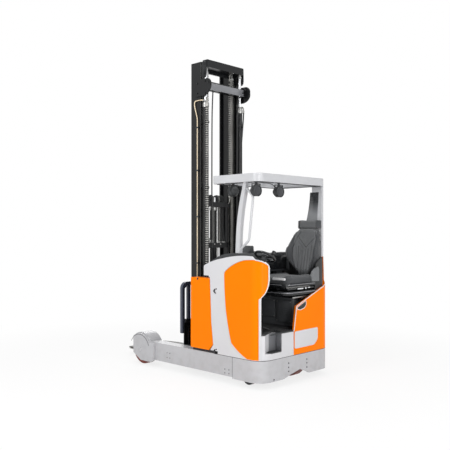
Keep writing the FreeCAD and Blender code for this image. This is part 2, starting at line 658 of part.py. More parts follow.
def step_panel():
    low, high = s.chassis_high, s.floor_high - s.mat
    turn = s.corner_round
    diagonal = turn * 0.29289 + s.seam
    back = rear + s.step_deep
    step = prism("step_block", "XY", [[
        (rear + diagonal, half - diagonal, turn), (rear, half - turn), (rear, s.panel_edge + s.seam),
        (back, s.panel_edge + s.seam), (back, half - s.panel - s.liner - 2),
        (rear + diagonal + 30, half - s.panel - s.liner - 2)]], low, high)
    notch = prism("step_notch", "XY", [[
        (rear - 5, 280), (rear - 5, 540), (rear + 4, 540), (rear + 40, 490), (rear + 160, 225),
        (rear + 130, 205), (rear + 20, 262)]], s.step_high, high + 5)
    keep("rear_step_panel", cut("rear_step_panel", step, notch))


def cab_floor():
    """The floor plate with its mat; the step's notch goes through both."""
    low = s.floor_high - s.mat
    inner = half - s.panel - s.liner - 3
    body = new_body("cab_floor")
    front = at(s.cab_length) - s.bulkhead_wall - 2
    pad(body, "XY", [[(rear + s.step_deep + 2, s.panel - half + 2), (front, s.panel - half + 2),
                      (front, inner), (rear + s.step_deep + 2, inner)]], low - s.floor_plate, low)
    mat = new_body("floor_mat")
    pad(mat, "XY", [[
        (rear + 10, s.panel_edge + 4), (rear + 10, 262), (rear + 20, 262), (rear + 130, 205),
        (rear + 160, 225),
        (rear + 40, 490), (rear + 75, inner), (front, inner), (front, s.panel - half + 2),
        (rear + s.step_deep + 2, s.panel - half + 2), (rear + s.step_deep + 2, s.panel_edge + 4)]], low,
        s.floor_high)


def cab_inside():
    bulkhead = new_body("bulkhead")
    front = at(s.cab_length)
    pad(bulkhead, "YZ", [rect(-s.battery_width / 2, s.battery_width / 2, s.chassis_high + s.tray_plate,
                              s.bulkhead_high)], front - s.bulkhead_wall, front - 2)
    rounded(bulkhead, 18, lambda p, run: p.z > s.bulkhead_high.value - 1 and abs(run.y) > 0.9)
    hood = new_body("dash_hood")
    top = s.body_high
    inner = half - s.panel - 1
    low = s.bulkhead_high + 1
    pad(hood, "XZ", [[
        (front + 126, s.battery_high + 58), (front + 126, top - 112, 700), (front - 148, top + 22, 900),
        (front - 380, top + 36, 260), (front - 430, top - 10), (front - 440, top - 70),
        (front - 300, low - 40), (front - s.bulkhead_wall - 2, low - 40), (front - s.bulkhead_wall - 2, low),
        (front, low), (front, s.battery_high + 58)]], s.hood_side, inner)
    seat_base = new_body("seat_base")
    x0, x1 = rear + s.corner_round + 5, front - s.bulkhead_wall - 4
    y0, y1 = s.panel - half + 3, s.seat_base_side - half
    pad(seat_base, "XY", [rect(x0, x1, y0, y1)], s.floor_high, s.seat_base_high)
    rounded(seat_base, 40, lambda p, run: abs(run.z) > 0.9 and p.y > y1.value - 1)


def seat():
    """A seat that faces left: sprung base, cushion, backrest, headrest and the console beside it."""
    x0, x1 = rear + s.seat_x - s.seat_wide / 2, rear + s.seat_x + s.seat_wide / 2
    low, plate = s.seat_base_high, s.seat_low - s.seat_plate
    middle, foot = rear + s.seat_x, -half
    suspension = new_body("seat_suspension")
    pad(suspension, "XY", [rect(x0 + 20, x1, foot + 150, foot + 480)], low, low + s.seat_plate)
    pad(suspension, "XY", [rect(x0 + 70, x1 - 70, foot + 200, foot + 430)], low + s.seat_plate, plate)
    pad(suspension, "XY", [rect(x0 + 12, x1 - 12, foot + 180, foot + 730)], plate, s.seat_low)
    pad(suspension, "YZ", [[
        (foot + 181, plate), (foot + 148, plate), (foot + 124.7, s.back_low), (foot + 97.4, s.back_low + 195),
        (foot + 112.4, s.back_low + 195), (foot + 139.7, s.back_low), (foot + 164.7, s.seat_low),
        (foot + 181, s.seat_low)]], middle - s.seat_bracket / 2, middle + s.seat_bracket / 2)
    cushion = new_body("seat_cushion")
    pad(cushion, "XY", [rect(x0, x1, foot + 260, foot + 760)], s.seat_low, s.seat_low + s.cushion_thick)
    rounded(cushion, 45, lambda p, run: abs(run.z) > 0.9)
    rounded(cushion, 35, lambda p, run: p.z > s.seat_low.value + s.cushion_thick.value - 1)
    side_view = prism("backrest_side", "YZ", [[
        (foot + 140, s.back_low), (foot + 248, s.back_low), (foot + 255, s.back_low + 60),
        (foot + 140, s.back_high), (foot + 68, s.back_high)]], x0, x1)
    wide = s.back_wide / 2
    front_view = prism("backrest_front", "XZ", [[
        (middle - wide + 30, s.back_low), (middle + wide - 30, s.back_low, 40),
        (middle + wide, s.back_low + 60), (middle + wide - 6, s.back_high - 200, 160),
        (middle + 125, s.back_high - 20, 60), (middle + 80, s.back_high), (middle - 100, s.back_high, 60),
        (middle - 136, s.back_high - 20, 160), (middle - wide + 6, s.back_high - 200),
        (middle - wide, s.back_low + 60, 40)]], foot, foot + 300)
    keep("seat_backrest", common("seat_backrest", [side_view, front_view]))
    headrest = new_body("headrest")
    low_pad, high_pad = s.back_high + s.headrest_gap, s.back_high + s.headrest_gap + s.headrest_high
    pad(headrest, "YZ", [[(foot + 64, low_pad), (foot + 134, low_pad), (foot + 128, high_pad),
                          (foot + 60, high_pad)]], middle - 160, middle + 130)
    rounded(headrest, 30, lambda p, run: abs(run.x) < 0.1)
    for offset in (-60, 60):
        pad(headrest, "XY", [("circle", middle + offset, foot + 98, 7)], s.back_high,
            s.back_high + s.headrest_gap + 12)
    armrest = new_body("armrest_console")
    inside = at(s.cab_length) - s.bulkhead_wall - 4
    base, crown = s.console_low, s.console_high
    pad(armrest, "YZ", [[(foot + 110, base), (foot + 660, base), (foot + 690, base + 30),
                         (foot + 690, crown - 90), (foot + 420, crown - 7), (foot + 110, crown)]],
        inside - 110, inside - 20)
    pad(armrest, "XY", [rect(inside - 90, inside - 40, foot + 200, foot + 300)], low, base + 10)


def steering():
    x, y, z = rear + s.wheel_x, half - s.wheel_side, s.wheel_z
    turn = Rotation(Vector(1, 0, 0), s.wheel_lean.value)
    column = doc.addObject("Part::Cylinder", "column_tube")
    bind(column, "Radius", s.column_radius)
    column.Height = 420
    # the top of the column stays under the wheel's hub
    drop = turn.multVec(Vector(0, 0, -1))
    for axis, place in zip("xyz", (x, y, z)):
        bind(column, f"Placement.Base.{axis}", place + getattr(drop, axis) * (column.Height.Value + 22))
    column.Placement.Rotation = turn
    column.setExpression("Placement.Rotation.Angle", s.wheel_lean.text)
    column.setExpression("Placement.Rotation.Axis.x", "1")
    wall = block("column_wall", x - 200, x + 200, half - s.panel - s.liner - 1, half + 200, 0, z)
    corner = wrap("column_corner", x + 300, None, s.panel + s.liner, s.floor_high, z)
    keep("steering_column", cut("steering_column", cut("column_inside", column, wall), corner))
    rim = doc.addObject("Part::Torus", "rim")
    bind(rim, "Radius1", s.wheel_rim - s.rim_tube)
    bind(rim, "Radius2", s.rim_tube)
    hub = drum("wheel_hub", "z", 30, -21.5, 14, 0, 0)
    spoke = block("wheel_spoke", -1 * (s.wheel_rim - s.rim_tube), s.wheel_rim - s.rim_tube, -14, 14, -8, 4)
    spoke_down = block("wheel_spoke_down", -14, 14, -1 * (s.wheel_rim - s.rim_tube), 0, -8, 4)
    knob_stem = drum("knob_stem", "z", 8, 0, 30, -1 * s.knob_out, 0)
    knob = drum("knob", "z", 20, 28, 62, -1 * s.knob_out, 0)
    wheel = keep("steering_wheel", fuse("steering_wheel", [rim, hub, spoke, spoke_down, knob_stem, knob]))
    wheel.Placement = Placement(Vector(), turn)
    for axis, place in zip("xyz", (x, y, z)):
        bind(wheel, f"Placement.Base.{axis}", place)


def overhead_guard():
    body = new_body("overhead_guard")
    low, high = s.guard_top - s.guard_deep, s.guard_top
    x0, x1, side = rear + s.guard_rear, rear + s.guard_rear + s.guard_length, guard_half
    turn, frame = s.guard_round, s.guard_frame

    def ring(inset):
        a, b, c, r = x0 + inset, x1 - inset, side - inset, turn - inset
        return [(a + r, -c), (b - r, -c, r), (b, r - c), (b, c - r, r), (b - r, c), (a + r, c, r),
                (a, c - r), (a, r - c, r)]

    pad(body, "XY", [ring(0), ring(frame)], low, high)
    pitch = 2 * (side - frame) / s.guard_gaps
    for k in range(1, int(s.guard_gaps.value)):
        y = frame - side + pitch * k
        pad(body, "XY", [rect(x0 + frame - 2, x1 - frame + 2, y - s.guard_bar / 2, y + s.guard_bar / 2)],
            high - 45, high - 5)


def pillars():
    """The left pillar leans back in three sections to the roof; the right one is a broad plate."""
    low, high = s.body_high - 60, s.guard_top - s.guard_deep
    sections = []
    for k, (x, slim, z) in enumerate(((384, 0, low), (375, 0, low + 126), (357, 0, low + 406),
                                      (307, 4, low + 686), (271, 16, high))):
        wide, thick, y = s.pillar_wide / 2 - slim / 2, s.pillar_thick / 2, half - s.pillar_inset
        outline = doc.addObject("Sketcher::SketchObject", f"pillar_section_{k}")
        draw(outline, [rect(rear + x - wide, rear + x + wide, y - thick, y + thick)])
        bind(outline, "Placement.Base.z", z)
        sections.append(outline)
    loft = doc.addObject("Part::Loft", "pillar_loft")
    loft.Sections = sections
    loft.Solid = True
    keep("left_pillar", cut("left_pillar", loft, parts["dash_hood"]))
    right = new_body("right_pillar")
    base, corner = s.side_high + s.lift_gap, s.corner_high + s.lift_gap
    lap = rear + s.corner_round + s.rear_lap + s.seam - 1
    pad(right, "XZ", [[(rear + s.pillar_rear, corner), (lap, corner), (lap, base), (rear + 450, base),
                       (rear + 360, base + 190, -900), (rear + 277, base + 510, -1500),
                       (rear + 222, high), (rear + s.pillar_rear, high)]],
        -1 * guard_half + 3, -1 * guard_half + 38)


def grab_handle():
    """A bent tube whose two ends seat in the left pillar."""
    radius = s.handle_tube.value
    y = half - s.pillar_inset
    corners = [(rear + 290, y, 2085), (rear + 174, y, 1975), (rear + 232, y, 1520), (rear + 375, y, 1405)]
    points = [Vector(*(number(c) for c in corner)) for corner in corners]
    edges, start = [], points[0]
    for before, here, after in zip(points, points[1:], points[2:]):
        inward, outward = (before - here).normalize(), (after - here).normalize()
        half_turn = (math.pi - inward.getAngle(outward)) / 2
        bend = s.handle_bend.value
        cut_back = min(bend * math.tan(half_turn), 0.45 * min((before - here).Length,
                                                              (after - here).Length))
        first, last = here + inward * cut_back, here + outward * cut_back
        bisector = (inward + outward).normalize()
        radius_bend = cut_back / math.tan(half_turn)
        centre = here + bisector * math.hypot(radius_bend, cut_back)
        crown = centre + (here - centre).normalize() * radius_bend
        edges.append(Part.LineSegment(start, first).toShape())
        edges.append(Part.Arc(first, crown, last).toShape())
        start = last
    edges.append(Part.LineSegment(start, points[-1]).toShape())
    path = Part.Wire(edges)
    ring = Part.Wire([Part.Circle(points[0], points[1] - points[0], radius).toShape()])
    tube = doc.addObject("Part::Feature", "handle_tube_solid")
    tube.Shape = path.makePipeShell([ring], True, False)
    keep("grab_handle", cut("grab_handle", tube, parts["left_pillar"]))


def lights():
    under, bar_under = s.guard_top - s.guard_deep, s.guard_top - 45
    lamps = []
    last_bar = guard_half - s.guard_frame - 2 * (guard_half - s.guard_frame) / s.guard_gaps
    for k, (x, y, z, seat_z) in enumerate(((82, 225, 2030, under), (118, half - 55, 2030, under),
                                           (600, last_bar, 2050, bar_under))):
        pod = drum(f"lamp_pod_{k}", "x", s.lamp_radius, rear + x - s.lamp_long / 2,
                   rear + x + s.lamp_long / 2, y, z)
        stem = block(f"lamp_stem_{k}", rear + x - 8, rear + x + 8, y - 12, y + 12, z, seat_z)
        lamps.append(fuse(f"lamp_{k}", [pod, stem]))
    group = doc.addObject("Part::Compound", "work_lights")
    group.Links = lamps
    keep("work_lights", group)


def stage(label, order, half_wide, top, stays):
    """One mast stage: two channel rails that open inward, joined by plates across their rear flanges."""
    body = new_body(label)
    x0 = mast_x + order * s.stage_step
    x1 = x0 + s.rail_deep
    flange, web_in, tip = s.rail_flange, half_wide - s.rail_web, half_wide - s.rail_wide
    for side in (1, -1):
        pad(body, "XY", [[(x0, side * tip), (x0 + flange, side * tip), (x0 + flange, side * web_in),
                          (x1 - flange, side * web_in), (x1 - flange, side * tip), (x1, side * tip),
                          (x1, side * half_wide), (x0, side * half_wide)]], s.mast_low, top)
    for bottom, high in stays:
        pad(body, "XY", [rect(x0, x0 + s.stay_plate, -1 * tip - 1, tip + 1)], bottom, high)
    return body


def rollers(body, order, face, tip, heights):
    """Stub axles and rollers outside a stage, running in the channel of the stage around it."""
    x = mast_x + order * s.stage_step + s.rail_deep / 2
    near = tip - s.roller_overlap
    for side in (1, -1):
        for z in heights:
            pad(body, "XZ", [("circle", x, z, s.stub_radius)], *span(side, face, near))
            pad(body, "XZ", [("circle", x, z, roller_radius)], *span(side, near, near + s.roller_wide))


def mast():
    low, high = s.mast_low, s.mast_high
    outer_high = high - s.outer_drop
    outer = stage("outer_mast", 0, s.outer_half, outer_high,
                  [(low, low + 160), (high - 330, high - 220)])
    # the yoke: a bar behind the lift rods, on a rounded plate outside each rail
    back, turn = mast_x - s.yoke_deep, s.yoke_round
    yoke_low = high - s.yoke_drop
    crown = yoke_low + turn
    bar_x, bar_low = mast_x - s.yoke_bar_back, crown - s.yoke_bar / 2 - 12
    for side in (1, -1):
        pad(outer, "XZ", [[(back + 70, crown + 70, 70), (back, crown, turn), (back + turn, yoke_low),
                           (mast_x + 70, yoke_low), (mast_x + 70, crown + 70)]],
            *span(side, s.outer_half, s.outer_half + s.stay_plate))
    pad(outer, "XY", [rect(bar_x, bar_x + s.stay_plate, -1 * s.outer_half - 1, s.outer_half + 1)],
        bar_low, bar_low + s.yoke_bar)

    middle = stage("middle_mast", 1, middle_half, high,
                   [(low, low + 160), (1900, 1960), (high - 330, high - 280)])
    rollers(middle, 0, middle_half, outer_tip, (low + 100, low + 560))
    # the head bar that the lift rods push up, on a plate inside each rail
    x_bar, bar_low = lift_x - s.barrel_radius - 12, high - s.head_bar
    x_rail = mast_x + s.stage_step
    for side in (1, -1):
        pad(middle, "XZ", [[(x_bar + 40, bar_low), (x_rail, high - 210), (x_rail + 8, high - 210),
                            (x_rail + 8, high), (x_bar + 40, high)]],
            *span(side, middle_half - 28, s.lift_side - s.rod_radius - s.plate_gap))
    pad(middle, "XY", [rect(x_bar, x_bar + 75, -1 * s.lift_side - s.rod_radius - 2,
                            s.lift_side + s.rod_radius + 2)], bar_low, high)

    inner = stage("inner_mast", 2, inner_half, high,
                  [(low, low + 150), (s.anchor_low, s.anchor_low + 60), (high - 120, high - 20)])
    rollers(inner, 1, inner_half, middle_tip, (low + 100, low + 560))
    x_in = mast_x + 2 * s.stage_step + s.stay_plate - 1
    pad(inner, "XY", [rect(x_in, free_x + s.free_barrel_radius, -60, 60)], low, low + 45)
    pad(inner, "XY", [rect(x_in, free_x - s.free_barrel_radius - 1, -40, 40)], s.anchor_low + 8,
        s.anchor_low + 52)


def cylinders():
    low, barrel_high = s.reach_high, s.mast_high - s.barrel_drop
    barrels, rods = [], []
    for name, side in SIDES.items():
        y = side * s.lift_side
        shell = drum(f"{name}_barrel_shell", "z", s.barrel_radius, low, barrel_high, lift_x, y)
        bore = drum(f"{name}_barrel_bore", "z", s.rod_radius + s.shaft_gap, low + 30, barrel_high + 1,
                    lift_x, y)
        barrels.append(cut(f"{name}_barrel", shell, bore))
        rods.append(drum(f"{name}_rod", "z", s.rod_radius, low + 40, s.mast_high - s.head_bar, lift_x, y))
    for label, solids in (("lift_cylinders", barrels), ("lift_rods", rods)):
        group = doc.addObject("Part::Compound", label)
        group.Links = solids
        keep(label, group)
    low = s.mast_low + 45
    shell = drum("free_shell", "z", s.free_barrel_radius, low, s.free_barrel_high, free_x, 0)
    bore = drum("free_bore", "z", s.free_rod_radius + s.shaft_gap, low + 30, s.free_barrel_high + 1,
                free_x, 0)
    keep("free_lift_cylinder", cut("free_lift_cylinder", shell, bore))
    pulley_z = s.free_barrel_high + s.pulley_radius + 45
    rod = drum("free_rod", "z", s.free_rod_radius, low + 40, pulley_z - 20, free_x, 0)
    head = block("free_head", free_x - 26, free_x + 26, -34, 34, pulley_z - 45, pulley_z + 30)
    axle = drum("free_axle", "y", 15, -64, 64, free_x, pulley_z)
    wheels = [drum(f"free_pulley_{k}", "y", s.pulley_radius, y0, y0 + 22, free_x, pulley_z)
              for k, y0 in enumerate((-62, 40))]
    keep("free_lift_rod", fuse("free_lift_rod", [rod, head, axle] + wheels))


def reach_carriage():
    """Two side plates on four rollers, a cross block that carries the lift cylinders, and the mast's
    brackets."""
    body = new_body("reach_carriage")
    x0, x1 = at(s.reach_rear), mast_x + s.reach_front
    inner = s.reach_half - s.reach_plate
    for side in (1, -1):
        pad(body, "XZ", [[(x0, s.reach_low + 20), (x0 + 30, s.reach_low), (x1, s.reach_low),
                          (x1, s.reach_high), (x0 + 60, s.reach_high), (x0, s.reach_high - 60)]],
            *span(side, inner, s.reach_half))
        for x in (mast_x - s.reach_back - s.reach_span, mast_x - s.reach_back):
            pad(body, "XZ", [("circle", x, arm_middle, 22)], *span(side, s.reach_half, arm_inner + 6))
            pad(body, "XZ", [("circle", x, arm_middle, s.reach_roller)],
                *span(side, arm_inner + 6, arm_inner + 6 + s.reach_roller_wide))
        pad(body, "XZ", [rect(mast_x + 20, x1 - 20, s.reach_low, s.reach_high - 20)],
            *span(side, s.outer_half + s.lift_gap, inner + 1))
    pad(body, "XY", [rect(x0 + 40, x0 + 110, -1 * inner - 1, inner + 1)], s.reach_low + 30, s.reach_high - 40)
    pad(body, "XY", [rect(lift_x - s.barrel_radius - 6, mast_x - s.lift_gap, -1 * inner - 1, inner + 1)],
        s.reach_low, s.reach_high)


def fork_carriage():
    body = new_body("fork_carriage")
    x0 = mast_x + 2 * s.stage_step
    x1 = at(cross_x0)
    side_in, side_out = 150, inner_tip - s.plate_gap
    for side in (1, -1):
        pad(body, "XZ", [[(x0 + 30, 120), (x1 + 2, 120), (x1 + 2, 300), (x1 - 12, 330), (x1 - 12, 800),
                          (x0 + 30, 800)]], *span(side, side_in, side_out))
    rollers(body, 2, side_out, inner_tip, (220, 690))
    pad(body, "XY", [rect(x1 - 35, x1 - 15, -1 * side_in - 1, side_in + 1)], 620, 740)
    pad(body, "XY", [rect(x1, x1 + s.carriage_plate, -s.carriage_half, s.carriage_half)],
        s.hinge_high + 25, s.hinge_high + 75)
    pad(body, "XY", [rect(x1, x1 + s.carriage_plate, -190, 190)], s.hinge_high + 10, 200)
    for side in (1, -1):
        pad(body, "XZ", [[(x1, s.hinge_high - 20), (hinge_x + 14, s.hinge_high - 20),
                          (hinge_x + 14, s.hinge_high + 12), (x1 + s.carriage_plate, s.hinge_high + 60),
                          (x1, s.hinge_high + 60)]],
            *span(side, s.tilt_half + s.plate_gap, s.carriage_half))
    pad(body, "XZ", [("circle", hinge_x, s.hinge_high, s.tilt_pin)], -1 * s.carriage_half + 2,
        s.carriage_half - 2)


def tilt_frame():
    body = new_body("tilt_frame")
    x0 = at(tilt_x0)
    pad(body, "XY", [rect(x0, x0 + s.tilt_plate, -s.tilt_half, s.tilt_half)], s.hinge_high, 480)
    pad(body, "XZ", [("circle", hinge_x, s.hinge_high, s.tilt_pin + 9)], -s.tilt_half, s.tilt_half)
    pocket(body, "XZ", [("circle", hinge_x, s.hinge_high, s.tilt_pin + s.shaft_gap)], -s.tilt_half - 1,
           s.tilt_half + 1)
    pocket(body, "YZ", [rect(-170, 170, s.hinge_high + 90, 400)], x0 - 1, x0 + s.tilt_plate + 1)


def shift_frame():
    body = new_body("shift_frame")
    x0, x1 = at(shift_x0), at(shank_x0)
    wide = s.rest_half - 20
    pad(body, "XY", [rect(x0, x1, -1 * wide, wide)], 440, 520)
    pad(body, "XY", [rect(x0, x1, -1 * wide, wide)], 150, 215)
    for side in (1, -1):
        pad(body, "XZ", [rect(x0, x1, 150, 520)], *span(side, wide - 60, wide))
    # the shoes that slide on the tilt frame
    for low, top in ((445, 475), (160, 190)):
        pad(body, "XY", [rect(x0 - s.plate_gap + s.lift_gap, x0 + 1, -180, 180)], low, top)


def fork(name, side):
    body = new_body(f"{name}_fork")
    x0 = at(shank_x0)
    x1, tip = x0 + s.fork_thick, at(total)
    low = s.fork_low
    near, far = span(side, s.fork_side - s.fork_wide / 2, s.fork_side + s.fork_wide / 2)
    pad(body, "XZ", [[(x0, low + 22), (x0 + 22, low), (tip - 320, low), (tip, low + 12), (tip, low + 22),
                      (tip - 320, low + s.fork_thick), (x1 + 8, low + s.fork_thick),
                      (x1, low + s.fork_thick + 8), (x1, 560), (x0, 560)]], near, far)
    rounded(body, 40, lambda p, run: p.x > tip.value - 2 and abs(run.z) > 0.9)


def load_backrest():
    body = new_body("load_backrest")
    x0 = at(shank_x0)
    x1 = x0 + s.rest_bar
    wide, bar, turn = s.rest_half, s.rest_bar, 80
    pad(body, "YZ", [[(-1 * wide, s.rest_low), (bar - wide, s.rest_low), (bar - wide, s.rest_high - turn),
                      (turn - wide, s.rest_high - bar), (wide - turn, s.rest_high - bar),
                      (wide - bar, s.rest_high - turn), (wide - bar, s.rest_low), (wide, s.rest_low),
                      (wide, s.rest_high - turn, turn), (wide - turn, s.rest_high),
                      (turn - wide, s.rest_high, turn), (-1 * wide, s.rest_high - turn)]], x0, x1)
    for side in (1, -1):
        pad(body, "YZ", [rect(*span(side, 235, 275), 562, s.rest_high - bar + 1)], x0 + 4, x1 - 4)


def build():
    chassis_frame()
    for name, side in SIDES.items():
        support_arm(name, side)
        wheel_guard(name, side)
        load_wheel(name, side)
    drive_unit()
    caster()
    battery_parts()
    cab_inside()
    left_body()
    right_body()
    step_panel()
    cab_floor()
    seat()
    steering()
    overhead_guard()
    pillars()
    grab_handle()
    lights()
    mast()
    cylinders()
    reach_carriage()
    fork_carriage()
    tilt_frame()
    shift_frame()
    for name, side in SIDES.items():
        fork(name, side)
    load_backrest()


def check_and_write():
    doc.recompute()
    failed = [o.Name for o in doc.Objects if "Invalid" in o.State or "Error" in o.State]
    if failed:
        raise RuntimeError(f"failed objects: {failed}")
    os.makedirs("parts", exist_ok=True)
    for label, solid in parts.items():
        shape = solid.Shape
        if shape.isNull() or not shape.isValid() or not shape.Solids:
            raise RuntimeError(f"{label} has a bad shape")
        box = shape.BoundBox
        print(f"{label:20s} {len(shape.Solids)} solids, x {box.XMin:7.1f} {box.XMax:7.1f}, "
              f"y {box.YMin:6.1f} {box.YMax:6.1f}, z {box.ZMin:6.1f} {box.ZMax:6.1f}")
        shape.exportStep(f"parts/{label}.step")
    print(f"{len(parts)} nodes")


build()
check_and_write()
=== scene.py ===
# %% [markdown]
# # A reach truck, dressed round a fixed CAD frame
# A reach truck stacks pallets in narrow aisles. Its mast rides forward on two
# support arms, and the operator sits sideways so as to see both ways. The real
# shapes and joints come from CAD and stay as they are. This file gives them
# paint, plastic, rubber and cloth, and adds what a drawing leaves out: padded
# seat covers, chains, hoses, screws, lamps and trim.
#
# The cells run from top to bottom. Each one says what a piece is on the real
# truck, how it could be made, and why it is made the way it is here.

# %% Load the frame
import json
import math
import bmesh
import bpy
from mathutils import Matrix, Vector


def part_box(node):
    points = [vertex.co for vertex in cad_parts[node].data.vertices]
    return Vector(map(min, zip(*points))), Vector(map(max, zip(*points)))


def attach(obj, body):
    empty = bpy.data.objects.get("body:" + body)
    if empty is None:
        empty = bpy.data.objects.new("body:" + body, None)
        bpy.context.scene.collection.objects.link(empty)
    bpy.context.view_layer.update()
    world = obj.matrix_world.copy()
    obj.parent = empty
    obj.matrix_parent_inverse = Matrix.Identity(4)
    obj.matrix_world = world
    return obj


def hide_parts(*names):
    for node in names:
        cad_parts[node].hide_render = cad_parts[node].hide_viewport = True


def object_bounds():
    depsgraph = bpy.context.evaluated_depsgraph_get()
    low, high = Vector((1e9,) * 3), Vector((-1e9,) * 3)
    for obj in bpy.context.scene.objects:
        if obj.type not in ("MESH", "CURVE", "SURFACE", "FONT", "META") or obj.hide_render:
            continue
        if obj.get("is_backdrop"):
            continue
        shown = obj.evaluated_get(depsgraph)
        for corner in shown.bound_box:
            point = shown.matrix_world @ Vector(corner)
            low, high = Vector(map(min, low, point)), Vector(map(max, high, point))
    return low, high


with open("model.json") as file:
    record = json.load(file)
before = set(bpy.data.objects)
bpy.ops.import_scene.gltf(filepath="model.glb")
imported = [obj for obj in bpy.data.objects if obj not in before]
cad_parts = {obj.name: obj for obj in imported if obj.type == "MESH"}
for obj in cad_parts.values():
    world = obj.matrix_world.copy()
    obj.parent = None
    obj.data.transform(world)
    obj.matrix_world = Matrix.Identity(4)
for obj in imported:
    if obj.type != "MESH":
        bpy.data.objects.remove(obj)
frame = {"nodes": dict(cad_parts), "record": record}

nodes = frame["nodes"]
cad_low, cad_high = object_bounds()
print("size", [round(v, 3) for v in cad_high - cad_low])

# %% [markdown]
# ## The camera
# The truck is seen from its rear left corner, at about chest height, with a
# long lens so that the tall mast stays upright. A lens is a focal length over a
# sensor width; the small vertical shift slides the view up a little while the
# camera stays level. Tilting the camera instead would make the uprights lean
# in towards each other.

# %% Camera
eye = Vector((-5.4969, 5.437, 1.6374))
look = Vector((0.698, -0.716, 0.0))
lens = bpy.data.cameras.new("camera")
lens.lens, lens.sensor_width, lens.shift_y = 50.93, 36.0, 0.0087
camera = bpy.data.objects.new("camera", lens)
camera.location = eye
camera.rotation_euler = look.to_track_quat("-Z", "Y").to_euler()
bpy.context.scene.collection.objects.link(camera)
bpy.context.scene.camera = camera
print("camera", [round(v, 3) for v in eye])

# %% [markdown]
# ## Writing node trees as sums
# A material or a Geometry Nodes tree is a graph of small nodes. Linking each
# one by hand is long and hard to read. Here a small class wraps one output
# socket and overloads Python's operators, so that `1 - mask * 0.5` adds its own
# Math nodes.

# %% Sockets that do sums
class Wire:
    """An output socket of a node tree that takes part in sums."""

    def __init__(self, graph, socket):
        self.graph, self.socket = graph, socket

    def sum(self, operation, *values):
        made = self.graph.node("ShaderNodeMath", {"operation": operation}, dict(enumerate(values)))
        return made.wire(0)

    def __add__(self, other):
        return self.sum("ADD", self, other)

    def __radd__(self, other):
        return self.sum("ADD", other, self)

    def __sub__(self, other):
        return self.sum("SUBTRACT", self, other)

    def __rsub__(self, other):
        return self.sum("SUBTRACT", other, self)

    def __mul__(self, other):
        return self.sum("MULTIPLY", self, other)

    def __rmul__(self, other):
        return self.sum("MULTIPLY", other, self)

    def __truediv__(self, other):
        return self.sum("DIVIDE", self, other)

    def __pow__(self, other):
        return self.sum("POWER", self, other)

    def sine(self):
        return self.sum("SINE", self)

    def size(self):
        return self.sum("ABSOLUTE", self)

    def steps(self, low, high):
        """0 below low, 1 above high, and a smooth rise between them."""
        settings = {"interpolation_type": "SMOOTHSTEP"}
        made = self.graph.node("ShaderNodeMapRange", settings, {
            "Value": self, "From Min": low, "From Max": high, "To Min": 0.0, "To Max": 1.0})
        return made.wire("Result")


print("sums ready")

# %% [markdown]
# Everything else goes through one method of the graph, `node`. It takes a
# node's type, its settings and the values or links of its sockets, and hands
# back the new node, whose outputs are asked for by name or by number.

# %% A graph with one method
class Made:
    """A node just made, whose outputs are asked for by name or number."""

    def __init__(self, graph, node):
        self.graph, self.node = graph, node

    def wire(self, name=0):
        return Wire(self.graph, pick(self.node.outputs, name))


def pick(sockets, name):
    if isinstance(name, int):
        return sockets[name]
    return next(s for s in sockets if s.name == name and s.enabled)


class Graph:
    """A node tree, with one method that adds any node."""

    def __init__(self, tree):
        self.tree = tree

    def node(self, kind, settings=None, values=None):
        made = self.tree.nodes.new(kind)
        for key, value in (settings or {}).items():
            setattr(made, key, value)
        for key, value in (values or {}).items():
            socket = pick(made.inputs, key)
            if isinstance(value, Wire):
                self.tree.links.new(value.socket, socket)
            else:
                socket.default_value = value
        return Made(self, made)


print("graph ready")

# %% [markdown]
# ## Colours
# Paint charts give colours the way a screen shows them. Shaders add light up,
# so they need linear values. The standard curve between the two is short enough
# to write out.

# %% Screen colour to linear colour
def tint(red, green, blue):
    """A screen colour of 0 to 255 a channel, as a linear colour with alpha."""
    linear = []
    for channel in (red, green, blue):
        c = channel / 255
        linear.append(c / 12.92 if c <= 0.04045 else ((c + 0.055) / 1.055) ** 2.4)
    return (*linear, 1.0)


print("mid grey", [round(v, 3) for v in tint(128, 128, 128)])

# %% [markdown]
# ## A finish
# A flat colour looks like plastic sheet. Real surfaces vary in three ways that
# the eye reads at once: the colour drifts a little over a hand's width, the
# gloss changes where it has been rubbed or is dusty, and the surface has a
# fine relief. Each finish below starts from a Principled shader, takes its
# pattern from object coordinates in metres, so that every grain has its true
# size, and adds its own relief.

